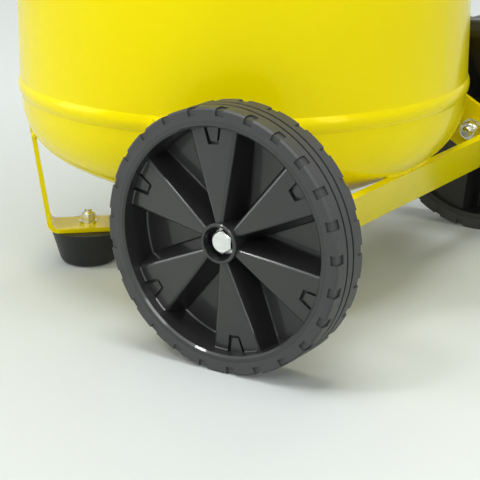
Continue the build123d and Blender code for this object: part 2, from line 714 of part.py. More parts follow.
def valve_plate():
    """The plate between cylinder and head, with its ports."""
    plate = fillet(Rectangle(2 * fin_half, 2 * fin_half).vertices(), 12)
    body = Pos(0, cylinder_y, deck_z + cylinder_height) * extrude(plate, plate_thickness)
    for x in (-11, 11):
        body = body - Pos(x, cylinder_y, 0) * rod(5, deck_z, head_z + 1)
    return body - head_bolt_holes(deck_z, head_z + 9)


def cylinder_head():
    """The cast head: a chamber with straight fins along its top."""
    plate = fillet(Rectangle(2 * fin_half, 2 * fin_half).vertices(), 12)
    body = Pos(0, cylinder_y, head_z) * extrude(plate, 12)
    fin_pitch, fin_thickness, fin_count = 11.0, 3.5, 7
    first = -(fin_count - 1) / 2 * fin_pitch
    for index in range(fin_count):
        x = first + index * fin_pitch - fin_thickness / 2
        fin = block(x, x + fin_thickness, cylinder_y - fin_half + 3, cylinder_y + fin_half - 3, head_z + 6,
                    head_z + head_height)
        body = body + fin
    place = Pos(0, cylinder_y, outlet_z)
    body = body + place * along_front(rod(9.5, fin_half - 12, outlet_reach)) + place * along_x(
        rod(12, fin_half - 12, fin_half))
    for x, y in head_bolt_places():
        body = body - Pos(x, y, 0) * rod(8.5, head_z + 12, head_z + head_height + 1)
    body = body - place * along_front(rod(tube_radius + 0.05, 8, outlet_reach + 1))
    body = body - place * along_x(rod(6.1, 8, fin_half + 1))
    body = body - [Pos(x, cylinder_y, 0) * rod(7, head_z - 1, head_z + 9) for x in (-11, 11)]
    return body - head_bolt_holes(head_z - 1, head_z + 13)


def head_bolts():
    bolt = Pos(0, 0, head_z + 12) * hex_bolt(m6_radius, m6_flats, m6_head, 12 + plate_thickness + 40)
    return [Pos(x, y, 0) * bolt for x, y in head_bolt_places()]


def intake_filter():
    """A round filter can screwed into the head's rear side, with slots round its cap."""
    can = turned((0, -10), (6, -10), (6, 0), (9, 0), (9, 8), (26, 10), (28, 12), (28, 30), (26, 34), (0, 34))
    slots = [Rot(0, 0, angle) * block(23, 30, -2.2, 2.2, 14, 28) for angle in range(15, 360, 30)]
    can = can - slots
    return Pos(fin_half, cylinder_y, outlet_z) * along_x(can)


# --- motor --------------------------------------------------------------------------------------
def motor_housing():
    """The finned aluminium body between crankcase and end shield, with a cast foot."""
    body = ring(motor_radius, motor_bore, case_back, motor_end)
    fins = []
    fin_count = 36
    for index in range(fin_count):
        angle = index * 360 / fin_count
        if 55 < angle < 125:
            continue
        fin = block(motor_radius - 1, motor_radius + motor_fin, -1.5, 1.5, case_back + 6, motor_end - 6)
        fins.append(Rot(0, 0, -angle) * fin)
    body = on_shaft(body.fuse(*fins))
    pad = block(-34, 34, case_back + 22, motor_end - 22, shaft_z + motor_radius - 8, shaft_z + motor_radius + 5)
    foot_half = 18.0
    reach = mount_half_x + 14
    plate = block(-reach, reach, mount_half_y - foot_half, mount_half_y + foot_half, pump_base,
                  pump_base + mount_flange)
    plate = fillet(plate.edges().filter_by(Axis.Z), 12)
    rib = block(-46, 46, mount_half_y - 8, mount_half_y + 8, pump_base + 2, shaft_z - 30)
    body = body + pad + plate + rib - on_shaft(rod(motor_bore, case_back - 1, motor_end + 1))
    for x in (-mount_half_x, mount_half_x):
        hole = rod(m8_radius + hole_clearance / 2, pump_base - 1, pump_base + mount_flange + 30)
        body = body - Pos(x, mount_half_y, 0) * hole
    return body


def stator():
    """The laminated stack in the housing, with its windings standing out at both ends."""
    middle = (case_back + motor_end) / 2
    stack = ring(motor_bore - 0.02, rotor_radius + air_gap,
                 middle - stator_length / 2, middle + stator_length / 2)
    outer = motor_bore - 7
    inner = rotor_radius + 6
    coil = turned((inner, 0), (outer, 0), (outer, 14), (outer - 4, 18), (inner + 4, 18), (inner, 14))
    stack = stack + Pos(0, 0, middle + stator_length / 2) * coil
    stack = stack + Pos(0, 0, middle - stator_length / 2) * Rot(180, 0, 0) * coil
    return on_shaft(stack)


def rotor():
    """The squirrel-cage core pressed on the shaft."""
    middle = (case_back + motor_end) / 2
    core = ring(rotor_radius, shaft_radius, middle - stator_length / 2, middle + stator_length / 2)
    cage = ring(rotor_radius - 4, 14, middle - stator_length / 2 - 8, middle + stator_length / 2 + 8)
    return on_shaft(core + cage - rod(shaft_radius, -500, 500))


def shaft():
    """The ground shaft, from the crank through both bearings to the fan."""
    return on_shaft(rod(shaft_radius, cylinder_y + 14.3, fan_end))


def fan():
    """The moulded cooling fan: a hub, a back plate and straight blades that work in either direction."""
    hub = ring(14, shaft_radius, 0, fan_width)
    body = hub + ring(fan_radius - 4, 13, 0, 2.5)
    for index in range(fan_blades):
        body = body + Rot(0, 0, index * 360 / fan_blades) * block(12, fan_radius, -1, 1, 0.5, fan_width)
    return on_shaft(Pos(0, 0, fan_end - fan_width) * body)


def fan_cover():
    """The moulded cowl over the fan: a cup on the end shield with a grille of concentric ribs."""
    wall = fan_cover_wall
    cup = turned((fan_cover_radius - 3, 0), (fan_cover_radius, 0), (fan_cover_radius, fan_cover_depth - 8),
                 (fan_cover_radius - 8, fan_cover_depth), (fan_cover_radius - 14, fan_cover_depth),
                 (fan_cover_radius - 14, fan_cover_depth - wall), (fan_cover_radius - 9, fan_cover_depth - wall),
                 (fan_cover_radius - wall, fan_cover_depth - 9), (fan_cover_radius - wall, 0))
    low, high = fan_cover_depth - wall, fan_cover_depth
    body = cup + rod(14, low, high)
    radius = grille_start
    while radius < fan_cover_radius - 16:
        body = body + ring(radius + 1.6, radius - 1.6, low, high)
        radius = radius + grille_pitch
    for index in range(6):
        body = body + Rot(0, 0, 30 + index * 60) * block(12, fan_cover_radius - 12, -1.6, 1.6, low, high)
    return Pos(0, cowl_start, shaft_z) * along_y(body)


def motor_shield():
    """The motor's end shield: a shallow cast cup with a bearing boss and a ring of slots."""
    spigot = 4.0
    seat = fan_cover_radius - fan_cover_wall - 0.05
    cup = turned((0, 0), (motor_bore - 0.1, 0), (motor_bore - 0.1, spigot), (seat, spigot),
                 (seat, spigot + 8), (motor_radius - 6, shield_depth), (0, shield_depth))
    hollow = turned((0, -1), (motor_bore - 5, -1), (motor_bore - 5, 10), (motor_bore - 9, shield_depth - 4),
                    (0, shield_depth - 4))
    boss = rod(22, 2, shield_depth - 2)
    cup = cup - hollow + boss
    for index in range(10):
        slot = block(28, 44, -2.5, 2.5, shield_depth - 9, shield_depth + 2)
        cup = cup - Rot(0, 0, index * 36) * slot
    cup = cup - rod(bearing_radius, -1, bearing_width + 2)
    cup = cup - rod(shaft_radius + 1, -1, shield_depth + 5)
    return Pos(0, shield_start, shaft_z) * along_y(cup)


def bearings():
    """The ball bearings that carry the shaft, one in the case and one in the end shield."""
    race = ring(bearing_radius - 0.02, shaft_radius + running_clearance, 0, bearing_width)
    in_case = on_shaft(Pos(0, 0, case_back - 13) * race)
    in_shield = on_shaft(Pos(0, 0, shield_start + 2) * race)
    return in_case, in_shield


def terminal_box():
    """The box on the motor that holds the run capacitor and the overload switch, with its lid."""
    y0, y1 = case_back + 26, motor_end - 26
    base_z = shaft_z + motor_radius + motor_fin
    box = block(-32, 32, y0, y1, base_z, base_z + 36)
    box = fillet(box.edges().filter_by(Axis.Z), 6)
    box = fillet(box.faces().sort_by(Axis.Z)[-1].edges(), 4)
    collar = Pos(32, (y0 + y1) / 2, base_z + 16) * along_x(ring(8, reset_radius + 0.3, -1, 3))
    pocket = Pos(32, (y0 + y1) / 2, base_z + 16) * along_x(rod(reset_radius + 0.3, -14, 4))
    write("terminal_box", box - pocket + collar)
    button = turned((0, 0), (reset_radius, 0), (reset_radius, 15), (reset_radius - 1, 16), (0, 16))
    write("reset_button", Pos(32 - 10, (y0 + y1) / 2, base_z + 16) * along_x(button))


def swept(radius, points, bend):
    """A round bar or tube through the points, with bends of one radius."""
    path = Polyline(*points)
    wire = path.wire() if len(points) < 3 else FilletPolyline(*points, radius=bend).wire()
    start = wire.position_at(0)
    section = Plane(origin=start, z_dir=wire.tangent_at(0)) * Circle(radius)
    return sweep(section, path=wire)


def compression_nut(flats=14.0, length=11.0):
    return hexagon(flats, 0, length) - rod(tube_radius - 0.01, -1, length + 1)


def check_valve():
    """The valve that keeps the tank's pressure off the pump: a hexagon body with a side port."""
    body = turned((0, -8), (6.9, -8), (6.9, 0), (0, 0))
    body = body + hexagon(22, 0, 12) + rod(9, 11, valve_height)
    body = body + Pos(0, 0, 20) * Rot(0, 0, 180) * along_x(rod(5, 0, 16))
    cavity = rod(6.2, 4, valve_height - 12) + rod(4, -9, 5) + rod(tube_radius + 0.05, valve_height - 12.1,
                                                                   valve_height + 1)
    body = body - cavity - Pos(0, 0, 20) * along_front(rod(2.05, 5, 20))
    return body


def air_lines():
    """Delivery tube from the head to the check valve, with its nuts, and the thin unloader line."""
    x, y = check_xy
    write("check_valve", Pos(x, y, check_z) * check_valve())
    disc = turned((0, 0), (5.6, 0), (5.6, 3), (2, 3), (2, 7), (0, 7))
    write("check_disc", Pos(x, y, check_z + 5 + side_clearance) * disc)
    start = (6 - outlet_reach, y, outlet_z)
    tube = swept(tube_radius, [start, (x, y, outlet_z), (x, y, check_z + valve_height - 11)], 18)
    upper_nut = Pos(-outlet_reach, y, outlet_z) * along_front(compression_nut())
    lower_nut = Pos(x, y, check_z + valve_height) * compression_nut()
    write("delivery_tube", tube + upper_nut + lower_nut)
    side = check_z + 20
    points = [(x - 14, y, side), (x - 44, y, side), (switch_x, y, side), (switch_x, y, unloader_z),
              (switch_x, -switch_half_y - 11, unloader_z)]
    write("unloader_line", swept(2, [points[0], points[2], points[3], points[4]], 12))


# --- controls -----------------------------------------------------------------------------------
def controls():
    """Manifold on the tank's port, pressure switch on top, gauge, safety valve, regulator and outlets."""
    half, z = manifold_size / 2, control_height
    bar = block(switch_x - half, switch_x + half, -manifold_half, manifold_half, z - half, z + half)
    bar = chamfer(bar.edges(), 1.2)
    bar = bar - Pos(switch_x, 0, z) * along_y(rod(8, -manifold_half - 1, manifold_half + 1))
    bar = bar - Pos(switch_x, 0, z) * rod(7, 0, half + 1)
    bar = bar - Pos(switch_x, 0, z) * along_x(rod(7, 0, half + 1))
    bar = bar - Pos(switch_x, gauge_offset, z) * along_front(rod(5, 0, half + 1))
    bar = bar - Pos(switch_x, safety_offset, z) * rod(6, 0, half + 1)
    write("manifold", bar)
    nipple = ring(7, 4.5, -6, 18) + (hexagon(19, 0.2, 11.8) - rod(4.5, -1, 13))
    to_tank = Pos(switch_x + half, 0, z) * along_x(nipple)
    to_switch = Pos(switch_x, 0, z + half) * nipple
    to_regulator = Pos(switch_x, manifold_half, z) * along_y(
        ring(8, 5, -8, 14) + (hexagon(19, 0.2, 5.8) - rod(5, -1, 13)))
    write("pipe_nipples", to_tank, to_switch, to_regulator)


def pressure_switch():
    """The switch's moulded cover on its metal base, with the hole for the knob and a gland for the lead."""
    base = block(-switch_half_x, switch_half_x, -switch_half_y, switch_half_y, 0, 16)
    base = base - rod(7, -1, 7)
    cover = block(-switch_half_x - 3, switch_half_x + 3, -switch_half_y - 3, switch_half_y + 3, 16.0,
                  switch_height)
    cover = fillet(cover.edges().filter_by(Axis.Z), 8)
    cover = fillet(cover.faces().sort_by(Axis.Z)[-1].edges(), 5)
    body = base + cover - rod(switch_knob_radius - 3.7, switch_height - 24, switch_height + 1)
    gland = Pos(0, switch_half_y + 2, switch_height - 22) * along_y(
        hexagon(19, 0, 6) + turned((0, 5), (9, 5), (9, 12), (7, 16), (0, 16)) - rod(3.5, 4, 20))
    unloader = Pos(0, -switch_half_y + 1, unloader_z - switch_base) * along_left(
        rod(5, 0, 10) + hexagon(9, 6, 16) - rod(2.05, 5, 20))
    return Pos(switch_x, 0, switch_base) * (body + gland + unloader)


def switch_knob():
    """The on and off knob, pushed down to stop; it is pulled up to run."""
    stem = switch_knob_radius - 4
    knob = turned((0, -14), (stem, -14), (stem, 0.5), (switch_knob_radius, 0.5), (switch_knob_radius + 2, 14),
                  (switch_knob_radius, 18), (0, 18))
    return Pos(switch_x, 0, switch_base + switch_height) * knob


def gauge():
    """A pressure gauge drawn facing +Z: threaded stem, case, bezel, dial floor and pointer post."""
    r = gauge_radius
    case = turned((0, 0), (r - 2, 0), (r, 2), (r, gauge_case - 4), (r + 1.5, gauge_case - 4),
                  (r + 1.5, gauge_case), (r - 1.5, gauge_case), (r - 1.5, 9), (0, 9))
    post = rod(1.6, 8, 13)
    return case + post + hexagon(11, -gauge_neck, 0.5) + rod(4.9, -gauge_neck - gauge_thread, 0)


def pointer():
    """A gauge's pointer drawn over +Z, with its hub on the post and its tip towards +Y."""
    tip = gauge_radius - 7
    hand = extrude(make_face(Polyline((-1.4, -7), (-0.3, tip), (0.3, tip), (1.4, -7), close=True)), 0.8)
    bore = 1.6 + running_clearance
    return Pos(0, 0, 12) * (hand + ring(3.2, bore, -2, 2) - rod(bore, -3, 3))


def gauges():
    """The tank's gauge on the manifold and the outlet's gauge on the regulator, facing forward."""
    places = {"tank": (switch_x - manifold_size / 2, gauge_offset), "outlet": (switch_x - regulator_radius,
                                                                              regulator_y)}
    for name, (x, y) in places.items():
        place = Pos(x - gauge_neck, y, control_height)
        write(f"{name}_gauge", place * face_front(gauge()))
        write(f"{name}_pointer", place * face_front(Rot(0, 0, pointer_rest) * pointer()))


def face_front(shape):
    """Turn a shape drawn facing +Z with +Y up so that it faces -X with +Z up."""
    return Rot(0, -90, 0) * Rot(0, 0, -90) * shape


def regulator():
    """The regulator's cast body with its bonnet, and the knob that turns on the bonnet."""
    r = regulator_radius
    body = rod(r, -regulator_half, regulator_half)
    body = body + rod(r - 5, regulator_half, regulator_half + 12)
    low = -regulator_half
    body = body + turned((0, low - 8), (r - 8, low - 8), (r - 4, low), (0, 0))
    body = body + along_left(rod(12, 0, r + 6)) + along_y(rod(12, 0, r + 6))
    body = body - along_left(rod(8, r - 7, r + 7)) - along_front(rod(5, r - 8, r + 1))
    body = body - along_y(rod(8, r - 7, r + 7))
    body = body + rod(3, regulator_half + 11, regulator_half + 24)
    write("regulator", Pos(switch_x, regulator_y, control_height) * body)
    knob_low, knob_high = regulator_half + 1, regulator_half + 32
    knob = rod(regulator_knob_radius, knob_low, knob_high)
    knob = chamfer(knob.edges().group_by(Axis.Z)[-1], 1.5)
    for index in range(8):
        knob = knob - Rot(0, 0, index * 45) * Pos(regulator_knob_radius + 2.5, 0, 0) * rod(4, knob_low - 1,
                                                                                          knob_high + 1)
    knob = knob - rod(r - 5 + 0.4, knob_low - 1, regulator_half + 12.4)
    knob = knob - rod(3 + running_clearance, knob_low, regulator_half + 24.4)
    write("regulator_knob", Pos(switch_x, regulator_y, control_height) * knob)


def coupler_parts():
    """A quick coupler drawn along +Z: a hexagon body with the plug's bore, and its sliding sleeve."""
    body = rod(7.9, -9, 1) + hexagon(19, 0, 11) + rod(9, 10, 40)
    body = body + ring(10.4, 8, 11, 12.5) + ring(10.4, 8, 38.5, 40)
    body = body - rod(4, -10, 30) - rod(coupler_bore, 40 - coupler_depth, 41)
    sleeve = ring(12.5, 10.4 + 0.3, 14.6, 36.4) + ring(11, 9 + running_clearance, 18.6, 34.6)
    sleeve = sleeve + ring(13.5, 11, 28, 32)
    return body, sleeve


def outlets():
    """Two couplers: one straight off the manifold at tank pressure, one after the regulator."""
    body, sleeve = coupler_parts()
    left = Pos(switch_x, -manifold_half, control_height)
    right = Pos(switch_x, regulator_y + regulator_radius + 6, control_height)
    write("tank_coupler", left * along_left(body))
    write("tank_coupler_sleeve", left * along_left(sleeve))
    write("outlet_coupler", right * along_y(body))
    write("outlet_coupler_sleeve", right * along_y(sleeve))


def safety_valve():
    """A spring safety valve with a pull ring through its stem."""
    place = Pos(switch_x, safety_offset, control_height + manifold_size / 2)
    body = rod(5.9, -8, 0) + hexagon(14, 0, 8) + rod(6.5, 7, 26)
    body = body - rod(3.5, -9, 22) - rod(2.2 + running_clearance, 20, 27)
    vent = Pos(0, 0, 13) * along_x(rod(1.2, 3, 8))
    body = body - [Rot(0, 0, turn) * vent for turn in (0, 90, 180, 270)]
    write("safety_valve", place * body)
    stem = rod(2.2, 22.4, 33)
    loop = Pos(0, 0, 38.5) * along_y(Torus(6, 1.1))
    write("safety_ring", place * (stem + loop))


def drain_valve():
    """The drain cock under the tank: a body in the boss and a winged screw from below."""
    top = ground_clearance - 10
    body = rod(6.1, 0, 9) + Rot(180, 0, 0) * (hexagon(14, 0, 8))
    body = body - rod(3, -9, 10)
    write("drain_valve", Pos(0, 0, top) * body)
    screw = rod(3 - running_clearance, -16, 4) + rod(5, -16, -8.3)
    wings = block(-12, 12, -1.2, 1.2, -17, -9)
    wings = fillet(wings.edges().filter_by(Axis.Y), 3)
    write("drain_screw", Pos(0, 0, top) * (screw + wings))


def handle():
    """A bent tube welded on stand-offs to the shell, with a rubber grip on its cross bar."""
    radius = tank_radius + handle_standoff + handle_tube_radius
    x, y = radius * cos(radians(handle_angle)), radius * sin(radians(handle_angle))
    bend_z = handle_top - 80
    left = [(x, -y, handle_foot), (x, -y, bend_z), (handle_reach, -y, handle_top)]
    points = left + [(px, -py, pz) for px, py, pz in reversed(left)]
    tube = swept(handle_tube_radius, points, 32) - swept(handle_tube_radius - handle_tube_wall, points, 32)
    for z in (handle_foot + 30, handle_foot + 120):
        pad = block(-handle_tube_radius - handle_standoff - 4, 0, -8, 8, -15, 15)
        pad = Pos(x, -y, z) * Rot(0, 0, -handle_angle) * pad
        pad = pad - Pos(x, -y, z) * rod(handle_tube_radius - 1, -16, 16) - rod(tank_radius, 0, tank_top)
        tube = tube + pad + mirror(pad, Plane.XZ)
    write("handle", tube)
    grip = ring(handle_tube_radius + grip_wall, handle_tube_radius, -grip_length / 2, grip_length / 2)
    grip = chamfer(grip.edges().group_by(Axis.Z)[0] + grip.edges().group_by(Axis.Z)[-1], 1)
    write("handle_grip", Pos(handle_reach, 0, handle_top) * along_y(grip))


os.makedirs("parts", exist_ok=True)
tank_parts()
write("axle_bracket", axle_bracket())
wheels()
axle_fasteners()
feet()
write("saddle", saddle())
pump_mounts()
write("crankcase", crankcase())
write("crankcase_cover", crankcase_cover())
write("cylinder", cylinder())
write("piston_rod", piston_rod())
write("crank", crank())
write("valve_plate", valve_plate())
write("cylinder_head", cylinder_head())
write("head_bolts", *head_bolts())
write("intake_filter", intake_filter())
write("motor_housing", motor_housing())
write("stator", stator())
write("rotor", rotor())
write("shaft", shaft())
write("motor_shield", motor_shield())
write("bearings", *bearings())
write("fan", fan())
write("fan_cover", fan_cover())
terminal_box()
air_lines()
controls()
write("pressure_switch", pressure_switch())
write("switch_knob", switch_knob())
gauges()
regulator()
outlets()
safety_valve()
drain_valve()
handle()
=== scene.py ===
import math

import bmesh
import bpy
import numpy as np
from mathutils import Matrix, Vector


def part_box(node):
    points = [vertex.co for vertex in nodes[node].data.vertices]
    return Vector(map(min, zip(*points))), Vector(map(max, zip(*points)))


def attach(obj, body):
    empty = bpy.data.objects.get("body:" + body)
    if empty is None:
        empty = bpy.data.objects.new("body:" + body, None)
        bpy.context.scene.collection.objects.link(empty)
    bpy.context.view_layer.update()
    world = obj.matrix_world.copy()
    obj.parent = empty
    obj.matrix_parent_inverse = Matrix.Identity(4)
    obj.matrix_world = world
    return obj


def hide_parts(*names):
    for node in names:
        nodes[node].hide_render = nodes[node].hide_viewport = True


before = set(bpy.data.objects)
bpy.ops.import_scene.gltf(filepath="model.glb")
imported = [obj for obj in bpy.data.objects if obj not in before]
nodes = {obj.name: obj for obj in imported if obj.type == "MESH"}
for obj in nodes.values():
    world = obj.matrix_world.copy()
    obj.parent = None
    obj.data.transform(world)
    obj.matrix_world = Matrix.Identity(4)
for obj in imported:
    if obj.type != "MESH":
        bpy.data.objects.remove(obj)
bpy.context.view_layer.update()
scene = bpy.context.scene


# ---------------------------------------------------------------------------------------------
# Tank: a rolled steel shell belled over two dished heads, all of it sprayed with gloss enamel.
# The enamel drifts a little in tone, has a faint orange peel and a thin film of dust.
# ---------------------------------------------------------------------------------------------
TANK_YELLOW = (0.93, 0.79, 0.0)
TANK_YELLOW_THIN = (0.90, 0.73, 0.0)
ENAMEL_GLOSS_TINT = (1.0, 0.93, 0.30)
ENAMEL_ROUGHNESS = 0.17
TANK_RADIUS = 0.154
CROWN_RADIUS = 0.266
KNUCKLE_RADIUS = 0.0435
KNUCKLE_CENTRE = 0.1097
TANK_HALF_BARREL = 0.300
DRAIN_BOSS = 0.010            # how far the boss for the drain stands out of the lower head


def node_middle(name):
    """The middle of a CAD node's box at rest."""
    low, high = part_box(name)
    return (low + high) / 2


tank_low, tank_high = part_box("tank_shell")
tank_axis = tank_high.x - (tank_high.y - tank_low.y) / 2
tank_middle = node_middle("tank_shell").z
tank_half_height = (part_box("upper_head")[1].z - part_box("lower_head")[0].z - DRAIN_BOSS) / 2


def new_material(name):
    """A node material with only its shader and output: returns the material, its tree and the shader."""
    material = bpy.data.materials.new(name)
    material.use_nodes = True
    return material, material.node_tree, material.node_tree.nodes["Principled BSDF"]


def add_node(tree, kind, values=None, **settings):
    """One shader node with its settings and the values of its unlinked inputs."""
    made = tree.nodes.new(kind)
    for key, value in settings.items():
        setattr(made, key, value)
    for key, value in (values or {}).items():
        made.inputs[key].default_value = value
    return made


def noise(tree, scale, detail=3.0):
    """A noise texture over the piece's own place: its Fac output."""
    place = add_node(tree, "ShaderNodeTexCoord")
    texture = add_node(tree, "ShaderNodeTexNoise", {"Scale": scale, "Detail": detail})
    tree.links.new(place.outputs["Object"], texture.inputs["Vector"])
    return texture.outputs["Fac"]


def spread(tree, source, low, high):
    """The middle of a noise, 0.3 to 0.7, stretched over two values."""
    made = add_node(tree, "ShaderNodeMapRange",
                    {"From Min": 0.3, "From Max": 0.7, "To Min": low, "To Max": high})
    tree.links.new(source, made.inputs["Value"])
    return made.outputs["Result"]


def two_tone(tree, source, colour, other):
    """A colour that drifts between two tones as a noise goes from 0.35 to 0.65."""
    factor = add_node(tree, "ShaderNodeMapRange", {"From Min": 0.35, "From Max": 0.65})
    tone = add_node(tree, "ShaderNodeMix", data_type="RGBA")
    tone.inputs["A"].default_value = (*colour, 1)
    tone.inputs["B"].default_value = (*other, 1)
    tree.links.new(source, factor.inputs["Value"])
    tree.links.new(factor.outputs["Result"], tone.inputs["Factor"])
    return tone.outputs["Result"]


def bumped(tree, shader, source, strength, distance):
    """Raises the surface by a noise, over a distance in metres."""
    bump = add_node(tree, "ShaderNodeBump", {"Strength": strength, "Distance": distance})
    tree.links.new(source, bump.inputs["Height"])
    tree.links.new(bump.outputs["Normal"], shader.inputs["Normal"])


def enamel(name, colour, thin_colour, roughness, gloss_tint):
    """Gloss enamel: slow drift of tone, faint orange peel and a film of dust in its roughness."""
    material, tree, shader = new_material(name)
    shader.inputs["Specular IOR Level"].default_value = 0.28
    shader.inputs["Specular Tint"].default_value = (*gloss_tint, 1)
    tree.links.new(two_tone(tree, noise(tree, 5.0), colour, thin_colour), shader.inputs["Base Color"])
    tree.links.new(spread(tree, noise(tree, 60.0, 4.0), roughness * 0.85, roughness * 1.25),
                   shader.inputs["Roughness"])
    bumped(tree, shader, noise(tree, 420.0, 1.0), 0.05, 0.0003)
    return material


def finish_nodes(material, *names):
    """Gives CAD nodes their finish, in every slot that they have."""
    for name in names:
        for slot in nodes[name].material_slots:
            slot.material = material


tank_enamel = enamel("tank_enamel", TANK_YELLOW, TANK_YELLOW_THIN, ENAMEL_ROUGHNESS, ENAMEL_GLOSS_TINT)
finish_nodes(tank_enamel, "tank_shell", "lower_head", "upper_head")


def closed_mesh(name, grids, material, body, smooth=True):
    """One piece from closed grids: point (i, j) joins (i+1, j), (i+1, j+1) and (i, j+1), round in j.

    A grid that also runs round in i is a ring; another grid has a pole or a rim drawn in at each end."""
    points, faces, start = [], [], 0
    for grid, ring in grids:
        rows, columns = grid.shape[:2]
        index = start + np.arange(rows * columns).reshape(rows, columns)
        below = index if ring else index[:-1]
        above = np.roll(index, -1, axis=0) if ring else index[1:]
        quads = np.stack([below, np.roll(below, -1, axis=1), np.roll(above, -1, axis=1), above], axis=-1)
        points.append(grid.reshape(-1, 3))
        faces.append(quads.reshape(-1, 4))
        start += rows * columns
    mesh = bpy.data.meshes.new(name)
    mesh.from_pydata(np.concatenate(points).tolist(), [], np.concatenate(faces).tolist())
    shell = bmesh.new()
    shell.from_mesh(mesh)
    bmesh.ops.remove_doubles(shell, verts=shell.verts, dist=2e-6)
    bmesh.ops.dissolve_degenerate(shell, edges=shell.edges, dist=1e-7)
    bmesh.ops.recalc_face_normals(shell, faces=shell.faces)
    shell.to_mesh(mesh)
    shell.free()
    mesh.polygons.foreach_set("use_smooth", np.full(len(mesh.polygons), smooth))
    mesh.materials.append(material)
    piece = bpy.data.objects.new(name, mesh)
    scene.collection.objects.link(piece)
    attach(piece, body)
    return piece


# ---------------------------------------------------------------------------------------------
# Welds: what is fixed to the tank is joined to it by a fillet of weld metal, laid in overlapping
# ripples round the line where the piece meets the steel, and painted over with the tank.
# ---------------------------------------------------------------------------------------------
WELD_STEP = 0.0006
WELD_RIPPLE = 0.0028
PORT_BEAD = 0.0016            # round a port or a boss
PLATE_BEAD = 0.0022           # along the axle bar and the saddle
TOUCHING = 0.0004             # how near the tank's skin a corner lies that touches it


def above_tank(points):
    """How far points stand out of the tank's skin.

    It is the distance from the barrel, from the knuckle's ring or from the crown's sphere."""
    reach = np.hypot(points[:, 0] - tank_axis, points[:, 1])
    rise = np.abs(points[:, 2] - tank_middle)
    crown_centre = tank_half_height - CROWN_RADIUS
    over_barrel = reach - TANK_RADIUS
    over_knuckle = np.hypot(reach - KNUCKLE_CENTRE, rise - TANK_HALF_BARREL) - KNUCKLE_RADIUS
    over_crown = np.hypot(reach, rise - crown_centre) - CROWN_RADIUS
    lean = KNUCKLE_CENTRE / (CROWN_RADIUS - KNUCKLE_RADIUS)
    on_crown = reach < np.hypot(reach, rise - crown_centre) * lean
    return np.where(rise < TANK_HALF_BARREL, over_barrel, np.where(on_crown, over_crown, over_knuckle))


def node_points(name):
    """A CAD node's corners as one array, each corner once."""
    mesh = nodes[name].data
    points = np.empty(len(mesh.vertices) * 3)
    mesh.vertices.foreach_get("co", points)
    return np.unique(np.round(points.reshape(-1, 3), 6), axis=0)


def round_outline(points):
    """Points on one face put in order round their middle, by their angle in the plane that fits them."""
    from_middle = points - points.mean(axis=0)
    across, up = np.linalg.svd(from_middle, full_matrices=False)[2][:2]
    return points[np.argsort(np.arctan2(from_middle @ up, from_middle @ across))]


def contact_outlines(name, group):
    """The closed lines where a node meets the tank; group gives each point the number of its line."""
    points = node_points(name)
    points = points[np.abs(above_tank(points)) < TOUCHING]
    numbers = group(points)
    return [round_outline(points[numbers == number]) for number in np.unique(numbers)]


def weld_bead(corners, radius):
    """A tube along a closed line: its radius swells once in each ripple and leans along the seam.

    The line is resampled at even steps and its corners are eased over five of them."""
    loop = np.vstack([corners, corners[:1]])
    along = np.concatenate([[0.0], np.cumsum(np.linalg.norm(np.diff(loop, axis=0), axis=1))])
    count = max(int(along[-1] / WELD_STEP), 12)
    stations = np.arange(count) / count * along[-1]
    line = np.stack([np.interp(stations, along, loop[:, axis]) for axis in range(3)], axis=1)
    line = np.mean([np.roll(line, shift, axis=0) for shift in range(-2, 3)], axis=0)
    ahead = np.roll(line, -1, axis=0) - np.roll(line, 1, axis=0)
    ahead /= np.linalg.norm(ahead, axis=1, keepdims=True)
    outward = line - (tank_axis, 0.0, tank_middle)
    side = np.cross(ahead, outward)
    side /= np.linalg.norm(side, axis=1, keepdims=True)
    over = np.cross(side, ahead)
    turn = np.linspace(0, 2 * np.pi, 10, endpoint=False)
    beat = 2 * np.pi * np.round(along[-1] / WELD_RIPPLE) * stations / along[-1]
    phase = beat[:, None] + 0.9 * np.cos(turn)
    swell = radius * (1 + 0.09 * np.sin(phase) + 0.05 * np.sin(0.37 * beat)[:, None])
    round_line = np.cos(turn)[:, None] * side[:, None] + np.sin(turn)[:, None] * over[:, None]
    return line[:, None] + swell[..., None] * round_line, True


def square_to(axis):
    """An axis at unit length and two directions square to it, the first as near upright as it can be."""
    axis = Vector(axis).normalized()
    first = Vector((0, 0, 1)) if abs(axis.z) < 0.9 else Vector((1, 0, 0))
    first = (first - axis * first.dot(axis)).normalized()
    return np.array(axis), np.array(first), np.array(axis.cross(first))


def ring_line(centre, axis, radius):
    """A circle of points: centre plus the radius along two directions square to the axis."""
    first, second = square_to(axis)[1:]
    turn = np.linspace(0, 2 * np.pi, 72, endpoint=False)[:, None]
    return np.array(centre) + radius * (np.cos(turn) * first + np.sin(turn) * second)


def weld_piece(name, lines, radius):
    """One painted weld piece on the machine from closed lines."""
    beads = [weld_bead(line, radius) for line in lines]
    closed_mesh(name, beads, tank_enamel, "machine")


PORT_HEIGHT = 0.640
PORT_RADIUS = 0.015
BOSS_RADIUS = 0.013
port_line = ring_line((tank_axis, 0.0, PORT_HEIGHT), (1, 0, 0), PORT_RADIUS)
port_line[:, 0] = tank_axis - np.sqrt(TANK_RADIUS ** 2 - port_line[:, 1] ** 2)
crown_fall = CROWN_RADIUS - math.sqrt(CROWN_RADIUS ** 2 - BOSS_RADIUS ** 2)
drain_centre = (node_middle("drain_valve").x, 0.0, tank_middle - tank_half_height + crown_fall)
drain_line = ring_line(drain_centre, (0, 0, 1), BOSS_RADIUS)
check_middle = node_middle("check_disc")
check_line = ring_line((check_middle.x, check_middle.y, 0.0), (0, 0, 1), BOSS_RADIUS)
check_reach = np.hypot(check_line[:, 0] - tank_axis, check_line[:, 1])
check_knuckle = np.sqrt(np.maximum(KNUCKLE_RADIUS ** 2 - (check_reach - KNUCKLE_CENTRE) ** 2, 0))
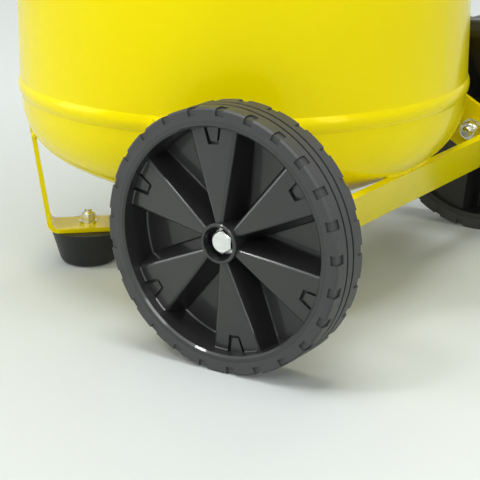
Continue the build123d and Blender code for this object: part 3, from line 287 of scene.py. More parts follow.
check_crown = np.sqrt(CROWN_RADIUS ** 2 - check_reach ** 2) + tank_half_height - CROWN_RADIUS
check_line[:, 2] = tank_middle + np.where(check_reach < KNUCKLE_CENTRE, check_crown,
                                          TANK_HALF_BARREL + check_knuckle)
weld_piece("port_welds", [port_line, drain_line, check_line], PORT_BEAD)


# ---------------------------------------------------------------------------------------------
# Straps: one bent flat bar carries the wheels, and a thin strap bent to a U holds each foot. All
# are flat steel, welded to the tank before the paint.
# ---------------------------------------------------------------------------------------------
finish_nodes(tank_enamel, "axle_bracket", "foot_brackets")
weld_piece("axle_bar_welds", contact_outlines("axle_bracket", lambda p: p[:, 1] > 0), PLATE_BEAD)
foot_x, foot_y = node_middle("left_foot").xy
foot_reach = math.hypot(foot_x - tank_axis, foot_y)
STRAP_FILLET = 0.0031
FILLET_SINK = STRAP_FILLET * 0.55


def fillet_run(start, end, radius, sink):
    """A short run of weld from one point to another, its ends rounded over, lowered by a sink.

    The radius follows a half circle over each end and swells once in each ripple."""
    start, end = np.array(start), np.array(end)
    length = np.linalg.norm(end - start)
    ahead = (end - start) / length
    along = np.linspace(-radius, length + radius, int(length / WELD_STEP))
    past = np.maximum(np.maximum(-along, along - length), 0) / radius
    ripple = 1 + 0.08 * np.sin(2 * np.pi * along / WELD_RIPPLE)
    size = (radius * np.sqrt(np.clip(1 - past ** 2, 0, 1)) * ripple)[:, None, None]
    side = np.cross(ahead, (0, 0, 1.0))
    over = np.cross(side, ahead)
    turn = np.linspace(0, 2 * np.pi, 16, endpoint=False)
    ring = np.cos(turn)[:, None] * side + np.sin(turn)[:, None] * over
    return (start - (0, 0, sink)) + along[:, None, None] * ahead + size * ring, False


def leg_number(points):
    """Numbers the four legs of the two foot straps: by the side, and by inside or outside of the foot."""
    return (points[:, 1] > 0) + 2 * (np.hypot(points[:, 0] - tank_axis, points[:, 1]) > foot_reach)


weld_runs = []
for leg_line in contact_outlines("foot_brackets", leg_number):
    lowest_corners = leg_line[np.argsort(leg_line[:, 2])[:2]]
    weld_runs.append(fillet_run(*lowest_corners, STRAP_FILLET, FILLET_SINK))
closed_mesh("foot_strap_fillets", weld_runs, tank_enamel, "machine")


# ---------------------------------------------------------------------------------------------
# Handle: a bent steel tube on four stand-offs, enamelled with the tank, with a moulded rubber
# grip pushed over its cross bar.
# ---------------------------------------------------------------------------------------------
finish_nodes(tank_enamel, "handle")
HANDLE_BEAD = 0.0018
STAND_OFF_SPLIT = 0.638       # a height between the lower and the upper stand-offs


def stand_off_number(points):
    """Numbers the handle's four stand-offs: by the side, and by lower or upper."""
    return (points[:, 1] > 0) + 2 * (points[:, 2] > STAND_OFF_SPLIT)


weld_piece("handle_welds", contact_outlines("handle", stand_off_number), HANDLE_BEAD)


def moulding(name, colour, roughness, grain_scale=900.0, grain=0.12):
    """Moulded plastic or rubber: fine grain in the surface and a slow change of tone and sheen."""
    material, tree, shader = new_material(name)
    drift = noise(tree, 14.0)
    tree.links.new(two_tone(tree, drift, [c * 0.88 for c in colour], [c * 1.12 for c in colour]),
                   shader.inputs["Base Color"])
    tree.links.new(spread(tree, drift, roughness * 0.9, roughness * 1.12), shader.inputs["Roughness"])
    bumped(tree, shader, noise(tree, grain_scale, 2.0), grain, 0.0004)
    return material


GRIP_HALF = 0.075
GRIP_BORE = 0.0126
GRIP_RADIUS = 0.0163
GRIP_RIB_PITCH = 0.006
GRIP_RIB = 0.0009
GRIP_COLLAR = 0.009           # plain length at each end
GRIP_END_ROUND = 0.003        # length and depth of the rounding at each end
GRIP_END_DROP = 0.0016
grip_middle = node_middle("handle_grip")
grip_rubber = moulding("grip_rubber", (0.012, 0.012, 0.013), 0.6, 700.0, 0.2)


def ribbed_grip():
    """A sleeve: radius less a rib's depth times the fourth power of a cosine along it, ends rounded in.

    The profile goes out along the outside and back through the bore, and is turned about the bar."""
    along = np.linspace(-GRIP_HALF, GRIP_HALF, 301)
    end = np.clip((GRIP_HALF - np.abs(along)) / GRIP_END_ROUND, 0, 1)
    collar = np.abs(along) > GRIP_HALF - GRIP_COLLAR
    groove = np.where(collar, 0.0, GRIP_RIB * np.cos(np.pi * along / GRIP_RIB_PITCH) ** 4)
    outside = GRIP_RADIUS - groove - GRIP_END_DROP * (1 - np.sqrt(1 - (1 - end) ** 2))
    bore = [[GRIP_HALF, GRIP_BORE], [-GRIP_HALF, GRIP_BORE]]
    profile = np.concatenate([np.stack([along, outside], axis=1), bore])
    turn = np.linspace(0, 2 * np.pi, 48, endpoint=False)
    x = grip_middle.x + profile[:, 1:] * np.cos(turn)
    z = grip_middle.z + profile[:, 1:] * np.sin(turn)
    return np.stack([x, np.broadcast_to(profile[:, :1], x.shape), z], axis=-1), True


grip = closed_mesh("ribbed_grip", [ribbed_grip()], grip_rubber, "machine")
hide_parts("handle_grip")


# ---------------------------------------------------------------------------------------------
# Feet: a moulded rubber foot under each strap, on a zinc-plated bolt with a washer. The bolt's end
# stands through a lock nut on top of the strap.
# ---------------------------------------------------------------------------------------------
def metal(name, colour, roughness, grain_scale=180.0, grain=0.02):
    """Bare or plated metal: an uneven polish in its roughness, tone and surface."""
    material, tree, shader = new_material(name)
    shader.inputs["Metallic"].default_value = 1.0
    polish = noise(tree, grain_scale, 4.0)
    dull = [c * 0.88 for c in colour]
    tree.links.new(two_tone(tree, polish, dull, colour), shader.inputs["Base Color"])
    tree.links.new(spread(tree, polish, roughness * 0.82, roughness * 1.22), shader.inputs["Roughness"])
    bumped(tree, shader, polish, grain, 0.0003)
    return material


foot_rubber = moulding("foot_rubber", (0.007, 0.0078, 0.008), 0.5, 700.0, 0.15)
zinc = metal("zinc_plate", (0.86, 0.87, 0.86), 0.24)
finish_nodes(foot_rubber, "left_foot", "right_foot")
finish_nodes(zinc, "foot_bolts")
NUT_FLATS = 0.0101
NUT_CORNER_LEAN = 12.4        # degrees from +X to a corner of the left foot's nut
NUT_PROFILE = [(0.0, -0.0020), (0.0070, -0.0020), (0.0070, 0.0012), (0.0058, 0.0012), (0.0049, 0.0020),
               (0.0045, 0.0022), (0.0041, 0.0027), (0.0031, 0.0028), (0.0029, 0.0029), (0.0029, 0.0038),
               (0.0023, 0.0044), (0.0, 0.0045)]
nut_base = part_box("foot_bolts")[1].z


def lock_nut(side):
    """The upper half of a lock nut with its stud: the smaller of a turned profile and a hexagon.

    The hexagon's radius is half its flats over the cosine of the angle from the nearest flat."""
    lean = -side * math.radians(NUT_CORNER_LEAN)
    turn = np.linspace(0, 2 * np.pi, 72, endpoint=False)
    from_flat = np.mod(turn, np.pi / 3) - np.pi / 6
    radii, heights = np.array(NUT_PROFILE).T[:, :, None]
    radii = np.minimum(radii, NUT_FLATS / 2 / np.cos(from_flat))
    x = foot_x + radii * np.cos(turn + lean)
    y = side * abs(foot_y) + radii * np.sin(turn + lean)
    return np.stack([x, y, np.broadcast_to(nut_base + heights, x.shape)], axis=-1), False


closed_mesh("foot_nuts", [lock_nut(side) for side in (-1, 1)], zinc, "machine", smooth=False)


# ---------------------------------------------------------------------------------------------
# Wheels: a black moulded rim with six hollow wedges and a solid rubber tyre pressed over its
# lips. Each turns on a plated bolt, whose threaded end stands through a lock nut inside the arm.
# ---------------------------------------------------------------------------------------------
rim_plastic = moulding("rim_plastic", (0.0105, 0.0105, 0.0105), 0.42, 1400.0, 0.03)
rim_shader = rim_plastic.node_tree.nodes["Principled BSDF"]
rim_shader.inputs["Coat Weight"].default_value = 0.65
rim_shader.inputs["Coat Roughness"].default_value = 0.08
tyre_rubber = moulding("tyre_rubber", (0.042, 0.042, 0.043), 0.5, 1100.0, 0.3)
finish_nodes(rim_plastic, "left_rim", "right_rim")
finish_nodes(tyre_rubber, "left_tyre", "right_tyre")
finish_nodes(zinc, "axle_bolts", "axle_nuts")

M8_RADIUS = 0.004
M8_PITCH = 0.00125
THREAD_PROUD = 0.00012
THREAD_DEPTH = 0.0006
TIP_CHAMFER = 0.0009


def thread(tip, axis, length):
    """An M8 end from its tip inwards: the radius falls by a triangle wave of height less turn.

    The wave runs once in each pitch. The tip's edge is drawn in, and a pole closes each end."""
    axis, first, second = square_to(axis)
    turn = np.linspace(0, 2 * np.pi, 36, endpoint=False)
    depth = np.linspace(0, length, int(length / M8_PITCH * 10) + 1)[:, None]
    beat = np.mod(depth / M8_PITCH - turn / (2 * np.pi), 1.0)
    crest = M8_RADIUS + THREAD_PROUD - THREAD_DEPTH * np.abs(2 * beat - 1)
    size = np.minimum(crest, M8_RADIUS - TIP_CHAMFER + depth)
    size = np.vstack([np.zeros((1, len(turn))), size, np.zeros((1, len(turn)))])
    place = np.vstack([depth[:1], depth, depth[-1:]])
    flat = np.cos(turn)[:, None] * first + np.sin(turn)[:, None] * second
    return np.array(tip) - place[..., None] * axis + size[..., None] * flat, False


AXLE_BOLT_TIP = 0.1384
AXLE_THREAD = 0.0024
axle = node_middle("left_tyre")
closed_mesh("axle_bolt_threads",
            [thread((axle.x, side * AXLE_BOLT_TIP, axle.z), (0, -side, 0), AXLE_THREAD) for side in (-1, 1)],
            zinc, "machine")


# ---------------------------------------------------------------------------------------------
# Saddle: a folded plate welded to the dome. The pump stands on it on four rubber isolators, held
# down by plated bolts whose threaded ends show under the plate.
# ---------------------------------------------------------------------------------------------
finish_nodes(tank_enamel, "saddle")
finish_nodes(foot_rubber, "pump_isolators")
finish_nodes(zinc, "pump_bolts")
weld_piece("saddle_welds", contact_outlines("saddle", lambda p: p[:, 1] > 0), PLATE_BEAD)
PUMP_BOLT_X = 0.062
PUMP_BOLT_Y = 0.070
PUMP_THREAD = 0.0072
THREAD_COVER = 0.0001         # how far the thread's tip stands past the plain bolt's
bolt_tip_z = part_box("pump_bolts")[0].z - THREAD_COVER
closed_mesh("pump_bolt_threads",
            [thread((tank_axis + x, y, bolt_tip_z), (0, 0, -1), PUMP_THREAD)
             for x in (-PUMP_BOLT_X, PUMP_BOLT_X) for y in (-PUMP_BOLT_Y, PUMP_BOLT_Y)],
            zinc, "machine")


# ---------------------------------------------------------------------------------------------
# Pump: cast aluminium case, cover and head, an iron cylinder with cooling fins under black heat
# paint, and a rocking piston on an eccentric. The head is held by four long plated screws.
# ---------------------------------------------------------------------------------------------
def casting(name, colour, roughness):
    """Shot-blasted cast metal: coarse skin and fine pits together in its surface, uneven in its sheen."""
    material, tree, shader = new_material(name)
    shader.inputs["Metallic"].default_value = 1.0
    skin, pits = noise(tree, 240.0, 4.0), noise(tree, 900.0, 2.0)
    both = add_node(tree, "ShaderNodeMath", operation="ADD")
    tree.links.new(skin, both.inputs[0])
    tree.links.new(pits, both.inputs[1])
    dull = [c * 0.88 for c in colour]
    tree.links.new(two_tone(tree, skin, dull, colour), shader.inputs["Base Color"])
    tree.links.new(spread(tree, pits, roughness * 0.85, roughness * 1.2), shader.inputs["Roughness"])
    bumped(tree, shader, both.outputs["Value"], 0.35, 0.0005)
    return material


cast_alloy = casting("cast_alloy", (0.50, 0.51, 0.52), 0.46)
finish_nodes(cast_alloy, "crankcase", "crankcase_cover", "cylinder_head", "valve_plate")
heat_paint = moulding("heat_paint", (0.022, 0.022, 0.023), 0.5, 400.0, 0.35)
finish_nodes(heat_paint, "cylinder")
ground_steel = metal("ground_steel", (0.62, 0.62, 0.63), 0.24, 300.0)
finish_nodes(ground_steel, "shaft", "crank", "bearings", "piston_rod")
finish_nodes(zinc, "head_bolts")
filter_plastic = moulding("filter_plastic", (0.018, 0.018, 0.019), 0.42)
finish_nodes(filter_plastic, "intake_filter")
CORE_PLUG_PROFILE = [(0.0, -0.0030), (0.0060, -0.0030), (0.0068, -0.0026), (0.0073, -0.0016),
                     (0.0075, -0.0005), (0.0079, -0.0001), (0.0083, -0.0002), (0.0086, -0.0006),
                     (0.0086, -0.0045), (0.0, -0.0045)]


def core_plug():
    """The pressed steel cup that closes the bore in the cover's boss: a profile turned about the bore.

    The profile holds radii and distances out of the boss's face, which are below zero in the bore."""
    bore = node_middle("crankcase_cover")
    radii, out = np.array(CORE_PLUG_PROFILE).T[:, :, None]
    turn = np.linspace(0, 2 * np.pi, 64, endpoint=False)
    x, z = bore.x + radii * np.cos(turn), bore.z + radii * np.sin(turn)
    face_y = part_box("crankcase_cover")[0].y
    return np.stack([x, np.broadcast_to(face_y - out, x.shape), z], axis=-1), False


closed_mesh("core_plug", [core_plug()], zinc, "machine")


# ---------------------------------------------------------------------------------------------
# Motor: a finned aluminium body painted black, a laminated stack with lacquered copper windings,
# a cast end shield, and a moulded cowl over the fan held by four pan-head screws.
# ---------------------------------------------------------------------------------------------
motor_paint = enamel("motor_paint", (0.020, 0.020, 0.022), (0.026, 0.026, 0.028), 0.42, (1.0, 1.0, 1.0))
finish_nodes(motor_paint, "motor_housing")
finish_nodes(cast_alloy, "motor_shield")
core_steel = metal("core_steel", (0.34, 0.34, 0.35), 0.5, 700.0)
finish_nodes(core_steel, "rotor")
lacquered_copper = metal("lacquered_copper", (0.48, 0.20, 0.08), 0.42, 1200.0, 0.4)
finish_nodes(lacquered_copper, "stator")
cowl_plastic = moulding("cowl_plastic", (0.020, 0.020, 0.021), 0.45)
finish_nodes(cowl_plastic, "fan_cover", "fan")

SCREW_HEAD_HEIGHT = 0.0021
SCREW_SEAT = 0.0004           # how far the head goes on under its seat
SCREW_CROSS = 0.0009
SCREW_CROSS_DEPTH = 0.0013
SCREW_CROSS_REACH = 0.62      # of the head's radius
SCREW_LEAN = 0.4              # radians: the first screw's turn, and how much further each next one is
SCREW_LEAN_STEP = 0.9


def pan_screws(name, places, radius):
    """Pan-head screws at (place, outward axis) pairs, one surface of radius and turn each.

    The height is a dome, the square root of one less the radius to the fourth, less a cross that is
    sunk where either of two square coordinates is within its half width, and only near the middle."""
    size = np.concatenate([[0.0], np.linspace(0.06, 1.0, 17), [1.0]])[:, None] * radius
    turn = np.linspace(0, 2 * np.pi, 48, endpoint=False)
    across, up = size * np.cos(turn), size * np.sin(turn)
    dome = SCREW_HEAD_HEIGHT * np.sqrt(np.clip(1 - (size / radius) ** 4, 0, 1))
    in_cross = np.minimum(np.abs(across), np.abs(up)) < SCREW_CROSS / 2
    sunk = in_cross & (size < radius * SCREW_CROSS_REACH)
    height = np.broadcast_to(dome, across.shape) - SCREW_CROSS_DEPTH * sunk
    height = np.vstack([height[:-1], np.full((2, len(turn)), -SCREW_SEAT)])
    across = np.vstack([across, np.zeros((1, len(turn)))])
    up = np.vstack([up, np.zeros((1, len(turn)))])
    grids = []
    for number, (place, axis) in enumerate(places):
        axis, first, second = square_to(axis)
        lean = SCREW_LEAN + SCREW_LEAN_STEP * number
        x = across * math.cos(lean) - up * math.sin(lean)
        y = across * math.sin(lean) + up * math.cos(lean)
        head = x[..., None] * first + y[..., None] * second + height[..., None] * axis
        grids.append((np.array(place) + head, False))
    closed_mesh(name, grids, zinc, "machine", smooth=False)


COWL_SCREW_RADIUS = 0.0034
COWL_SCREW_INSET = 0.0055
cowl_low, cowl_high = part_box("fan_cover")
cowl_radius = (cowl_high.x - cowl_low.x) / 2
cowl_centre = node_middle("fan_cover")
cowl_centre.y = cowl_low.y + COWL_SCREW_INSET
cowl_outward = [Vector((math.cos(a), 0.0, math.sin(a))) for a in np.radians((45, 135, 225, 315))]
pan_screws("cowl_screws", [(cowl_centre + cowl_radius * out, out) for out in cowl_outward], COWL_SCREW_RADIUS)


# ---------------------------------------------------------------------------------------------
# Terminal box: a moulded box on the motor for the run capacitor and the overload button, its lid
# held by four small screws.
# ---------------------------------------------------------------------------------------------
box_plastic = moulding("box_plastic", (0.018, 0.018, 0.019), 0.38, 1300.0, 0.10)
finish_nodes(box_plastic, "terminal_box")
button_plastic = moulding("button_plastic", (0.028, 0.028, 0.030), 0.3)
finish_nodes(button_plastic, "reset_button")
LID_SCREW_RADIUS = 0.0029
LID_SCREW_INSET = 0.0088
BUTTON_COLLAR = 0.003         # how far the button's collar stands out of the box
lid_low, lid_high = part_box("terminal_box")
lid_rows = (lid_low.x + LID_SCREW_INSET, lid_high.x - BUTTON_COLLAR - LID_SCREW_INSET)
lid_columns = (lid_low.y + LID_SCREW_INSET, lid_high.y - LID_SCREW_INSET)
pan_screws("lid_screws", [((x, y, lid_high.z), (0, 0, 1)) for x in lid_rows for y in lid_columns],
           LID_SCREW_RADIUS)


# ---------------------------------------------------------------------------------------------
# Air lines: a soft aluminium delivery tube from the head to the non-return valve, and the thin
# line that vents it at the switch. Valves and nipples are turned brass.
# ---------------------------------------------------------------------------------------------
tube_alloy = metal("tube_alloy", (0.74, 0.75, 0.76), 0.34, 240.0)
finish_nodes(tube_alloy, "delivery_tube", "unloader_line")
brass = metal("brass", (0.74, 0.54, 0.20), 0.26)
finish_nodes(brass, "check_valve", "check_disc", "pipe_nipples")


# ---------------------------------------------------------------------------------------------
# Manifold, regulator and safety valve: nickel-plated brass on the tank's front port. The
# regulator's knob is a fluted moulding.
# ---------------------------------------------------------------------------------------------
nickel = metal("nickel", (0.72, 0.71, 0.68), 0.28, 90.0, 0.002)
finish_nodes(nickel, "manifold", "regulator", "safety_ring")
finish_nodes(brass, "safety_valve")
knob_plastic = moulding("knob_plastic", (0.018, 0.018, 0.019), 0.35, 1100.0, 0.08)
finish_nodes(knob_plastic, "regulator_knob")


# ---------------------------------------------------------------------------------------------
# Pressure switch: a moulded cover on a metal base, held by two screws at its front, with a red
# knob that is pulled up to run and pushed down to stop.
# ---------------------------------------------------------------------------------------------
finish_nodes(box_plastic, "pressure_switch")
red_plastic = moulding("red_plastic", (0.52, 0.016, 0.012), 0.3, 1100.0, 0.06)
finish_nodes(red_plastic, "switch_knob")
SWITCH_SCREW_RADIUS = 0.0032
SWITCH_SCREW_RISE = 0.028
SWITCH_SCREW_SIDE = 0.021
switch_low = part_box("pressure_switch")[0]
switch_screw_z = switch_low.z + SWITCH_SCREW_RISE
pan_screws("switch_screws", [((switch_low.x, side * SWITCH_SCREW_SIDE, switch_screw_z), (-1, 0, 0))
                             for side in (-1, 1)], SWITCH_SCREW_RADIUS)


# ---------------------------------------------------------------------------------------------
# Gauges: a steel case with a white printed dial from 0 to 12 bar, a red pointer on a post, and a
# slightly domed clear window held in the bezel.
# ---------------------------------------------------------------------------------------------
gauge_paint = enamel("gauge_paint", (0.016, 0.016, 0.017), (0.021, 0.021, 0.022), 0.3, (1.0, 1.0, 1.0))
finish_nodes(gauge_paint, "tank_gauge", "outlet_gauge")
finish_nodes(red_plastic, "tank_pointer", "outlet_pointer")
dial_white = moulding("dial_white", (0.80, 0.80, 0.77), 0.45, 600.0, 0.02)
dial_ink = moulding("dial_ink", (0.012, 0.012, 0.013), 0.5, 600.0, 0.02)

window_clear, window_tree, window_shader = new_material("window_clear")
window_shader.inputs["Transmission Weight"].default_value = 1.0
window_shader.inputs["IOR"].default_value = 1.49
window_tone = two_tone(window_tree, noise(window_tree, 40.0), (0.97, 0.98, 0.98), (1.0, 1.0, 1.0))
window_wipe = spread(window_tree, noise(window_tree, 120.0), 0.01, 0.05)
window_tree.links.new(window_tone, window_shader.inputs["Base Color"])
window_tree.links.new(window_wipe, window_shader.inputs["Roughness"])

DIAL_RADIUS = 0.0234
DIAL_FLOOR = 0.0090           # behind the front of the bezel
DIAL_THICKNESS = 0.0004
DIAL_SINK = 0.0001
INK_THICKNESS = 0.00008
SCALE_RADIUS = 0.0205
SCALE_SWEEP = 270.0
SCALE_TOP = 12
STROKES = ((0.0030, 0.00035), (0.0016, 0.00018), (0.0022, 0.00022), (0.0016, 0.00018))
WINDOW_FRONT = 0.0012
WINDOW_THICKNESS = 0.0011
WINDOW_DOME = 0.0008
NUMBER_SIZE = 0.0052
NUMBER_RADIUS = 0.0138


def facing_front(place, right, up, out):
    """Points on a dial in the machine's own directions: right is -Y, up is +Z and out is -X."""
    right, up, out = np.broadcast_arrays(right, up, out)
    return np.array(place) + np.stack([-out, -right, up], axis=-1)


def turned_disc(place, radii, heights):
    """A disc turned about a gauge's axis from a closed half profile of radii and heights."""
    turn = np.linspace(0, 2 * np.pi, 64, endpoint=False)
    radii, heights = np.array([radii, heights], float)[:, :, None]
    return facing_front(place, radii * np.cos(turn), radii * np.sin(turn), heights), False


def printed_bar(place, turn, inner, outer, half_width):
    """A printed stroke: four corners at two heights about a line from an inner to an outer radius."""
    along = np.array([inner, outer, outer, inner])
    side = np.array([-1, -1, 1, 1]) * half_width
    right = along * math.sin(turn) + side * math.cos(turn)
    up = along * math.cos(turn) - side * math.sin(turn)
    centre = (inner + outer) / 2 * np.array([math.sin(turn), math.cos(turn)])
    rights = np.stack([np.full(4, centre[0]), right, right, np.full(4, centre[0])])
    ups = np.stack([np.full(4, centre[1]), up, up, np.full(4, centre[1])])
    outs = np.array([0, 0, INK_THICKNESS, INK_THICKNESS])[:, None]
    return facing_front(place, rights, ups, outs), False


def printed_numbers(name, place):
    """The scale's even numbers as thin raised print, set upright round the dial."""
    joined = bmesh.new()
    for value in range(0, SCALE_TOP + 1, 2):
        curve = bpy.data.curves.new(name, "FONT")
        curve.body = str(value)
        curve.size = NUMBER_SIZE
        curve.align_x, curve.align_y = "CENTER", "CENTER"
        curve.extrude = INK_THICKNESS / 2
        letters = bpy.data.objects.new(name, curve)
        scene.collection.objects.link(letters)
        bpy.context.view_layer.update()
        mesh = bpy.data.meshes.new_from_object(letters.evaluated_get(bpy.context.evaluated_depsgraph_get()))
        flat = np.empty(len(mesh.vertices) * 3)
        mesh.vertices.foreach_get("co", flat)
        flat = flat.reshape(-1, 3)
        turn = math.radians(SCALE_SWEEP * (value / SCALE_TOP - 0.5))
        placed = facing_front(place, flat[:, 0] + NUMBER_RADIUS * math.sin(turn),
                              flat[:, 1] + NUMBER_RADIUS * math.cos(turn), flat[:, 2] + INK_THICKNESS / 2)
        mesh.vertices.foreach_set("co", placed.ravel())
        joined.from_mesh(mesh)
        bpy.data.objects.remove(letters)
    bmesh.ops.remove_doubles(joined, verts=joined.verts, dist=1e-7)
    bmesh.ops.recalc_face_normals(joined, faces=joined.faces)
    mesh = bpy.data.meshes.new(name)
    joined.to_mesh(mesh)
    joined.free()
    mesh.materials.append(dial_ink)
    piece = bpy.data.objects.new(name, mesh)
    scene.collection.objects.link(piece)
    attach(piece, "machine")


def dial(place):
    """The dial's plate: a thin disc let a little way into the floor of the case."""
    heights = [-DIAL_SINK, -DIAL_SINK, DIAL_THICKNESS, DIAL_THICKNESS]
    return turned_disc(place, [0, DIAL_RADIUS, DIAL_RADIUS, 0], heights)


def dial_strokes(place):
    """A stroke at each half unit of the scale, longer and wider at whole and even units."""
    steps = SCALE_TOP * 2
    for step in range(steps + 1):
        length, half_width = STROKES[step % len(STROKES)]
        turn = math.radians(SCALE_SWEEP * (step / steps - 0.5))
        yield printed_bar(place, turn, SCALE_RADIUS - length, SCALE_RADIUS, half_width)


def window(place):
    """A clear disc whose two faces rise by one less the square of the radius."""
    radii = np.array([0.0, 0.006, 0.012, 0.018, DIAL_RADIUS])
    dome = WINDOW_DOME * (1 - (radii / DIAL_RADIUS) ** 2)
    heights = np.concatenate([dome, dome[::-1] - WINDOW_THICKNESS])
    return turned_disc(place, np.concatenate([radii, radii[::-1]]), heights)


for gauge in ("tank", "outlet"):
    bezel_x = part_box(f"{gauge}_gauge")[0].x
    gauge_y, gauge_z = node_middle(f"{gauge}_gauge").yz
    dial_x = bezel_x + DIAL_FLOOR
    print_place = (dial_x - DIAL_THICKNESS, gauge_y, gauge_z)
    closed_mesh(f"{gauge}_dial", [dial((dial_x, gauge_y, gauge_z))],
                dial_white, "machine", smooth=False)
    closed_mesh(f"{gauge}_dial_scale", list(dial_strokes(print_place)),
                dial_ink, "machine", smooth=False)
    printed_numbers(f"{gauge}_dial_numbers", print_place)
    closed_mesh(f"{gauge}_window", [window((bezel_x + WINDOW_FRONT + WINDOW_DOME, gauge_y, gauge_z))],
                window_clear, "machine")


# ---------------------------------------------------------------------------------------------
# Couplers: plated hexagon bodies, each with a sprung steel sleeve that is knurled for the fingers
# and pulled back to let a hose go.
# ---------------------------------------------------------------------------------------------
finish_nodes(nickel, "tank_coupler", "outlet_coupler")
sleeve_steel = metal("sleeve_steel", (0.66, 0.66, 0.67), 0.22)
finish_nodes(sleeve_steel, "tank_coupler_sleeve", "outlet_coupler_sleeve")
KNURL_RADIUS = 0.0125
KNURL_DEPTH = 0.00045
KNURL_ROOT = 0.0003           # the grooves' floor under the band's radius
KNURL_PROUD = 0.0001
KNURL_UNDER = 0.0008          # the ends are drawn in this far, inside the sleeve
KNURL_EASE = 0.0008
KNURL_FLAT = 0.75             # where the sum of the two families is less, the grooves are flat
KNURL_COUNT = 30
KNURL_START = 0.0014
KNURL_LENGTH = 0.0112


def knurled_band(centre, start, direction):
    """A band whose radius falls by two crossed families of slanting grooves.

    Each family is the size of the cosine of half the turn plus or minus a slant, and the band's ends
    are drawn in under it."""
    turn = np.linspace(0, 2 * np.pi, KNURL_COUNT * 8, endpoint=False)
    along = np.linspace(0, KNURL_LENGTH, 45)[:, None]
    slant = along * KNURL_COUNT / KNURL_RADIUS
    ridges = sum(np.abs(np.cos((KNURL_COUNT * turn + way * slant) / 2)) for way in (1, -1))
    ease = np.clip(np.minimum(along, KNURL_LENGTH - along) / KNURL_EASE, 0, 1)
    crest = KNURL_PROUD + KNURL_DEPTH * np.clip(ridges - KNURL_FLAT, 0, 1)
    under = np.full((2, len(turn)), KNURL_RADIUS - KNURL_UNDER)
    radius = np.vstack([KNURL_RADIUS - KNURL_ROOT + crest * ease, under])
    place = start + direction * np.vstack([along, along[-1:], along[:1]])
    x = centre.x + radius * np.cos(turn)
    z = centre.z + radius * np.sin(turn)
    return np.stack([x, np.broadcast_to(place, x.shape), z], axis=-1), True


for coupler, direction in (("tank", -1), ("outlet", 1)):
    sleeve_low, sleeve_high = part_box(f"{coupler}_coupler_sleeve")
    inner_end = sleeve_low.y if direction > 0 else sleeve_high.y
    sleeve_middle = (sleeve_low + sleeve_high) / 2
    closed_mesh(f"{coupler}_sleeve_knurl",
                [knurled_band(sleeve_middle, inner_end + direction * KNURL_START, direction)],
                sleeve_steel, f"{coupler}_sleeve")


# ---------------------------------------------------------------------------------------------
# Drain: a brass cock in the boss under the tank. Its winged screw is turned to let out the water
# that gathers there.
# ---------------------------------------------------------------------------------------------
finish_nodes(brass, "drain_valve", "drain_screw")


# ---------------------------------------------------------------------------------------------
# Studio: a pale grey-green floor that runs out of sight, an even sky, soft lamps overhead and on
# all sides, and a long lens close to the wheel. The floor's far end glows as pale as the sky.
# ---------------------------------------------------------------------------------------------
FLOOR_TONE = (0.696, 0.740, 0.722)
FLOOR_DARK = 0.79             # the floor's paint drifts between these two shares of that tone
FLOOR_PALE = 0.81
FLOOR_HALF = 14.0
FLOOR_GLOW = 0.08             # near the machine, where its shadow lies
GLOW_NEAR = 0.9               # metres from the middle of the floor
GLOW_FAR = 3.2
WORLD_LEVEL = 0.14
CAMERA_LENS = 120.3
CAMERA_FROM_AXLE = Vector((0.4974, -0.9160, 0.3629))
CAMERA_TURN = math.radians(33.47)
CAMERA_TILT = math.radians(17.63)
scene.view_settings.view_transform = "Standard"


def seen_as_background(tree):
    """One for a camera, glossy or transmission ray and nought for any other: the largest of the three."""
    path = add_node(tree, "ShaderNodeLightPath")
    either = add_node(tree, "ShaderNodeMath", operation="MAXIMUM")
    any_of = add_node(tree, "ShaderNodeMath", operation="MAXIMUM")
    tree.links.new(path.outputs["Is Camera Ray"], either.inputs[0])
    tree.links.new(path.outputs["Is Glossy Ray"], either.inputs[1])
    tree.links.new(either.outputs["Value"], any_of.inputs[0])
    tree.links.new(path.outputs["Is Transmission Ray"], any_of.inputs[1])
    return any_of.outputs["Value"]


def mixed(tree, factor, first, second, output):
    """Joins two shaders by a factor and sends them to an output node."""
    mix = add_node(tree, "ShaderNodeMixShader")
    tree.links.new(factor, mix.inputs["Fac"])
    tree.links.new(first, mix.inputs[1])
    tree.links.new(second, mix.inputs[2])
    tree.links.new(mix.outputs["Shader"], tree.nodes[output].inputs["Surface"])


floor_paint, tree, shader = new_material("studio_floor")
shader.inputs["Roughness"].default_value = 0.62
shader.inputs["Specular IOR Level"].default_value = 0.12
floor_dark, floor_pale = ([c * share for c in FLOOR_TONE] for share in (FLOOR_DARK, FLOOR_PALE))
tree.links.new(two_tone(tree, noise(tree, 1.3, 2.0), floor_dark, floor_pale), shader.inputs["Base Color"])
glow = add_node(tree, "ShaderNodeEmission", {"Color": (*FLOOR_TONE, 1), "Strength": 1.0})
floor_place = add_node(tree, "ShaderNodeTexCoord")
reach = add_node(tree, "ShaderNodeVectorMath", operation="LENGTH")
glow_by_reach = add_node(tree, "ShaderNodeMapRange",
                         {"From Min": GLOW_NEAR, "From Max": GLOW_FAR, "To Min": FLOOR_GLOW, "To Max": 1.0},
                         interpolation_type="SMOOTHSTEP")
glow_share = add_node(tree, "ShaderNodeMath", operation="MULTIPLY")
tree.links.new(floor_place.outputs["Object"], reach.inputs[0])
tree.links.new(reach.outputs["Value"], glow_by_reach.inputs["Value"])
tree.links.new(seen_as_background(tree), glow_share.inputs[0])
tree.links.new(glow_by_reach.outputs["Result"], glow_share.inputs[1])
mixed(tree, glow_share.outputs["Value"], shader.outputs["BSDF"], glow.outputs["Emission"], "Material Output")
floor_mesh = bpy.data.meshes.new("studio_floor")
floor_corners = [(x * FLOOR_HALF, y * FLOOR_HALF, 0) for x, y in ((-1, -1), (1, -1), (1, 1), (-1, 1))]
floor_mesh.from_pydata(floor_corners, [], [(0, 1, 2, 3)])
floor_mesh.materials.append(floor_paint)
floor = bpy.data.objects.new("studio_floor", floor_mesh)
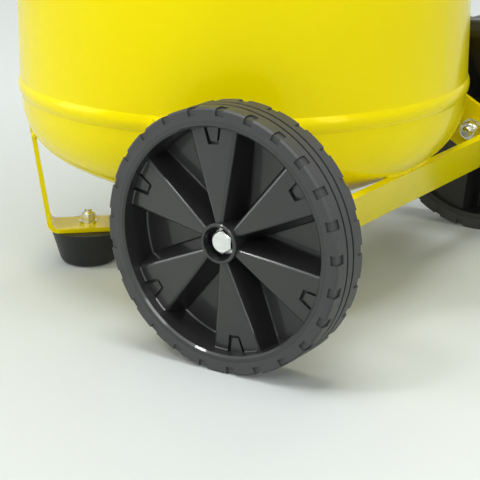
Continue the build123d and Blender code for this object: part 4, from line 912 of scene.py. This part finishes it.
scene.collection.objects.link(floor)

scene.world = bpy.data.worlds.new("studio")
scene.world.use_nodes = True
sky = scene.world.node_tree
sky_light = sky.nodes["Background"]
sky_light.inputs["Color"].default_value = (*FLOOR_TONE, 1)
sky_light.inputs["Strength"].default_value = WORLD_LEVEL
backdrop = add_node(sky, "ShaderNodeBackground", {"Color": (*FLOOR_TONE, 1), "Strength": 1.0})
mixed(sky, seen_as_background(sky), sky_light.outputs["Background"], backdrop.outputs["Background"],
      "World Output")


def soft_lamp(name, place, target, width, height, power):
    """A rectangular soft lamp at a place, turned to face a target."""
    data = bpy.data.lights.new(name, "AREA")
    data.shape = "RECTANGLE"
    data.size = width
    data.size_y = height
    data.energy = power
    lamp = bpy.data.objects.new(name, data)
    lamp.location = place
    lamp.rotation_euler = (Vector(target) - Vector(place)).to_track_quat("-Z", "Y").to_euler()
    scene.collection.objects.link(lamp)


soft_lamp("lamp_ceiling", (0.1, -0.3, 4.2), (0.1, -0.3, 0.0), 2.4, 2.4, 165.0)
soft_lamp("lamp_overhead", (-0.83, -1.64, 2.83), (0.13, -0.19, 0.08), 0.45, 0.45, 20.0)
soft_lamp("lamp_left", (-2.60, -1.80, 1.10), (0.0, 0.0, 0.30), 1.4, 1.82, 30.0)
soft_lamp("lamp_front", (1.15, -2.6, 2.2), (0.05, 0.0, 0.20), 1.4, 1.4, 38.0)
soft_lamp("lamp_right", (3.0, -0.6, 1.1), (0.1, 0.0, 0.3), 0.7, 1.68, 22.0)
soft_lamp("lamp_back", (-0.6, 3.4, 2.2), (0.0, 0.0, 0.50), 1.4, 1.4, 34.0)

camera = bpy.data.objects.new("camera", bpy.data.cameras.new("camera"))
camera.data.sensor_width = 36.0
camera.data.lens = CAMERA_LENS
camera.data.clip_start = 0.05
camera.location = CAMERA_FROM_AXLE + Vector((axle.x, 0.0, 0.0))
camera.rotation_euler = (math.pi / 2 - CAMERA_TILT, 0.0, CAMERA_TURN)
scene.collection.objects.link(camera)
scene.camera = camera
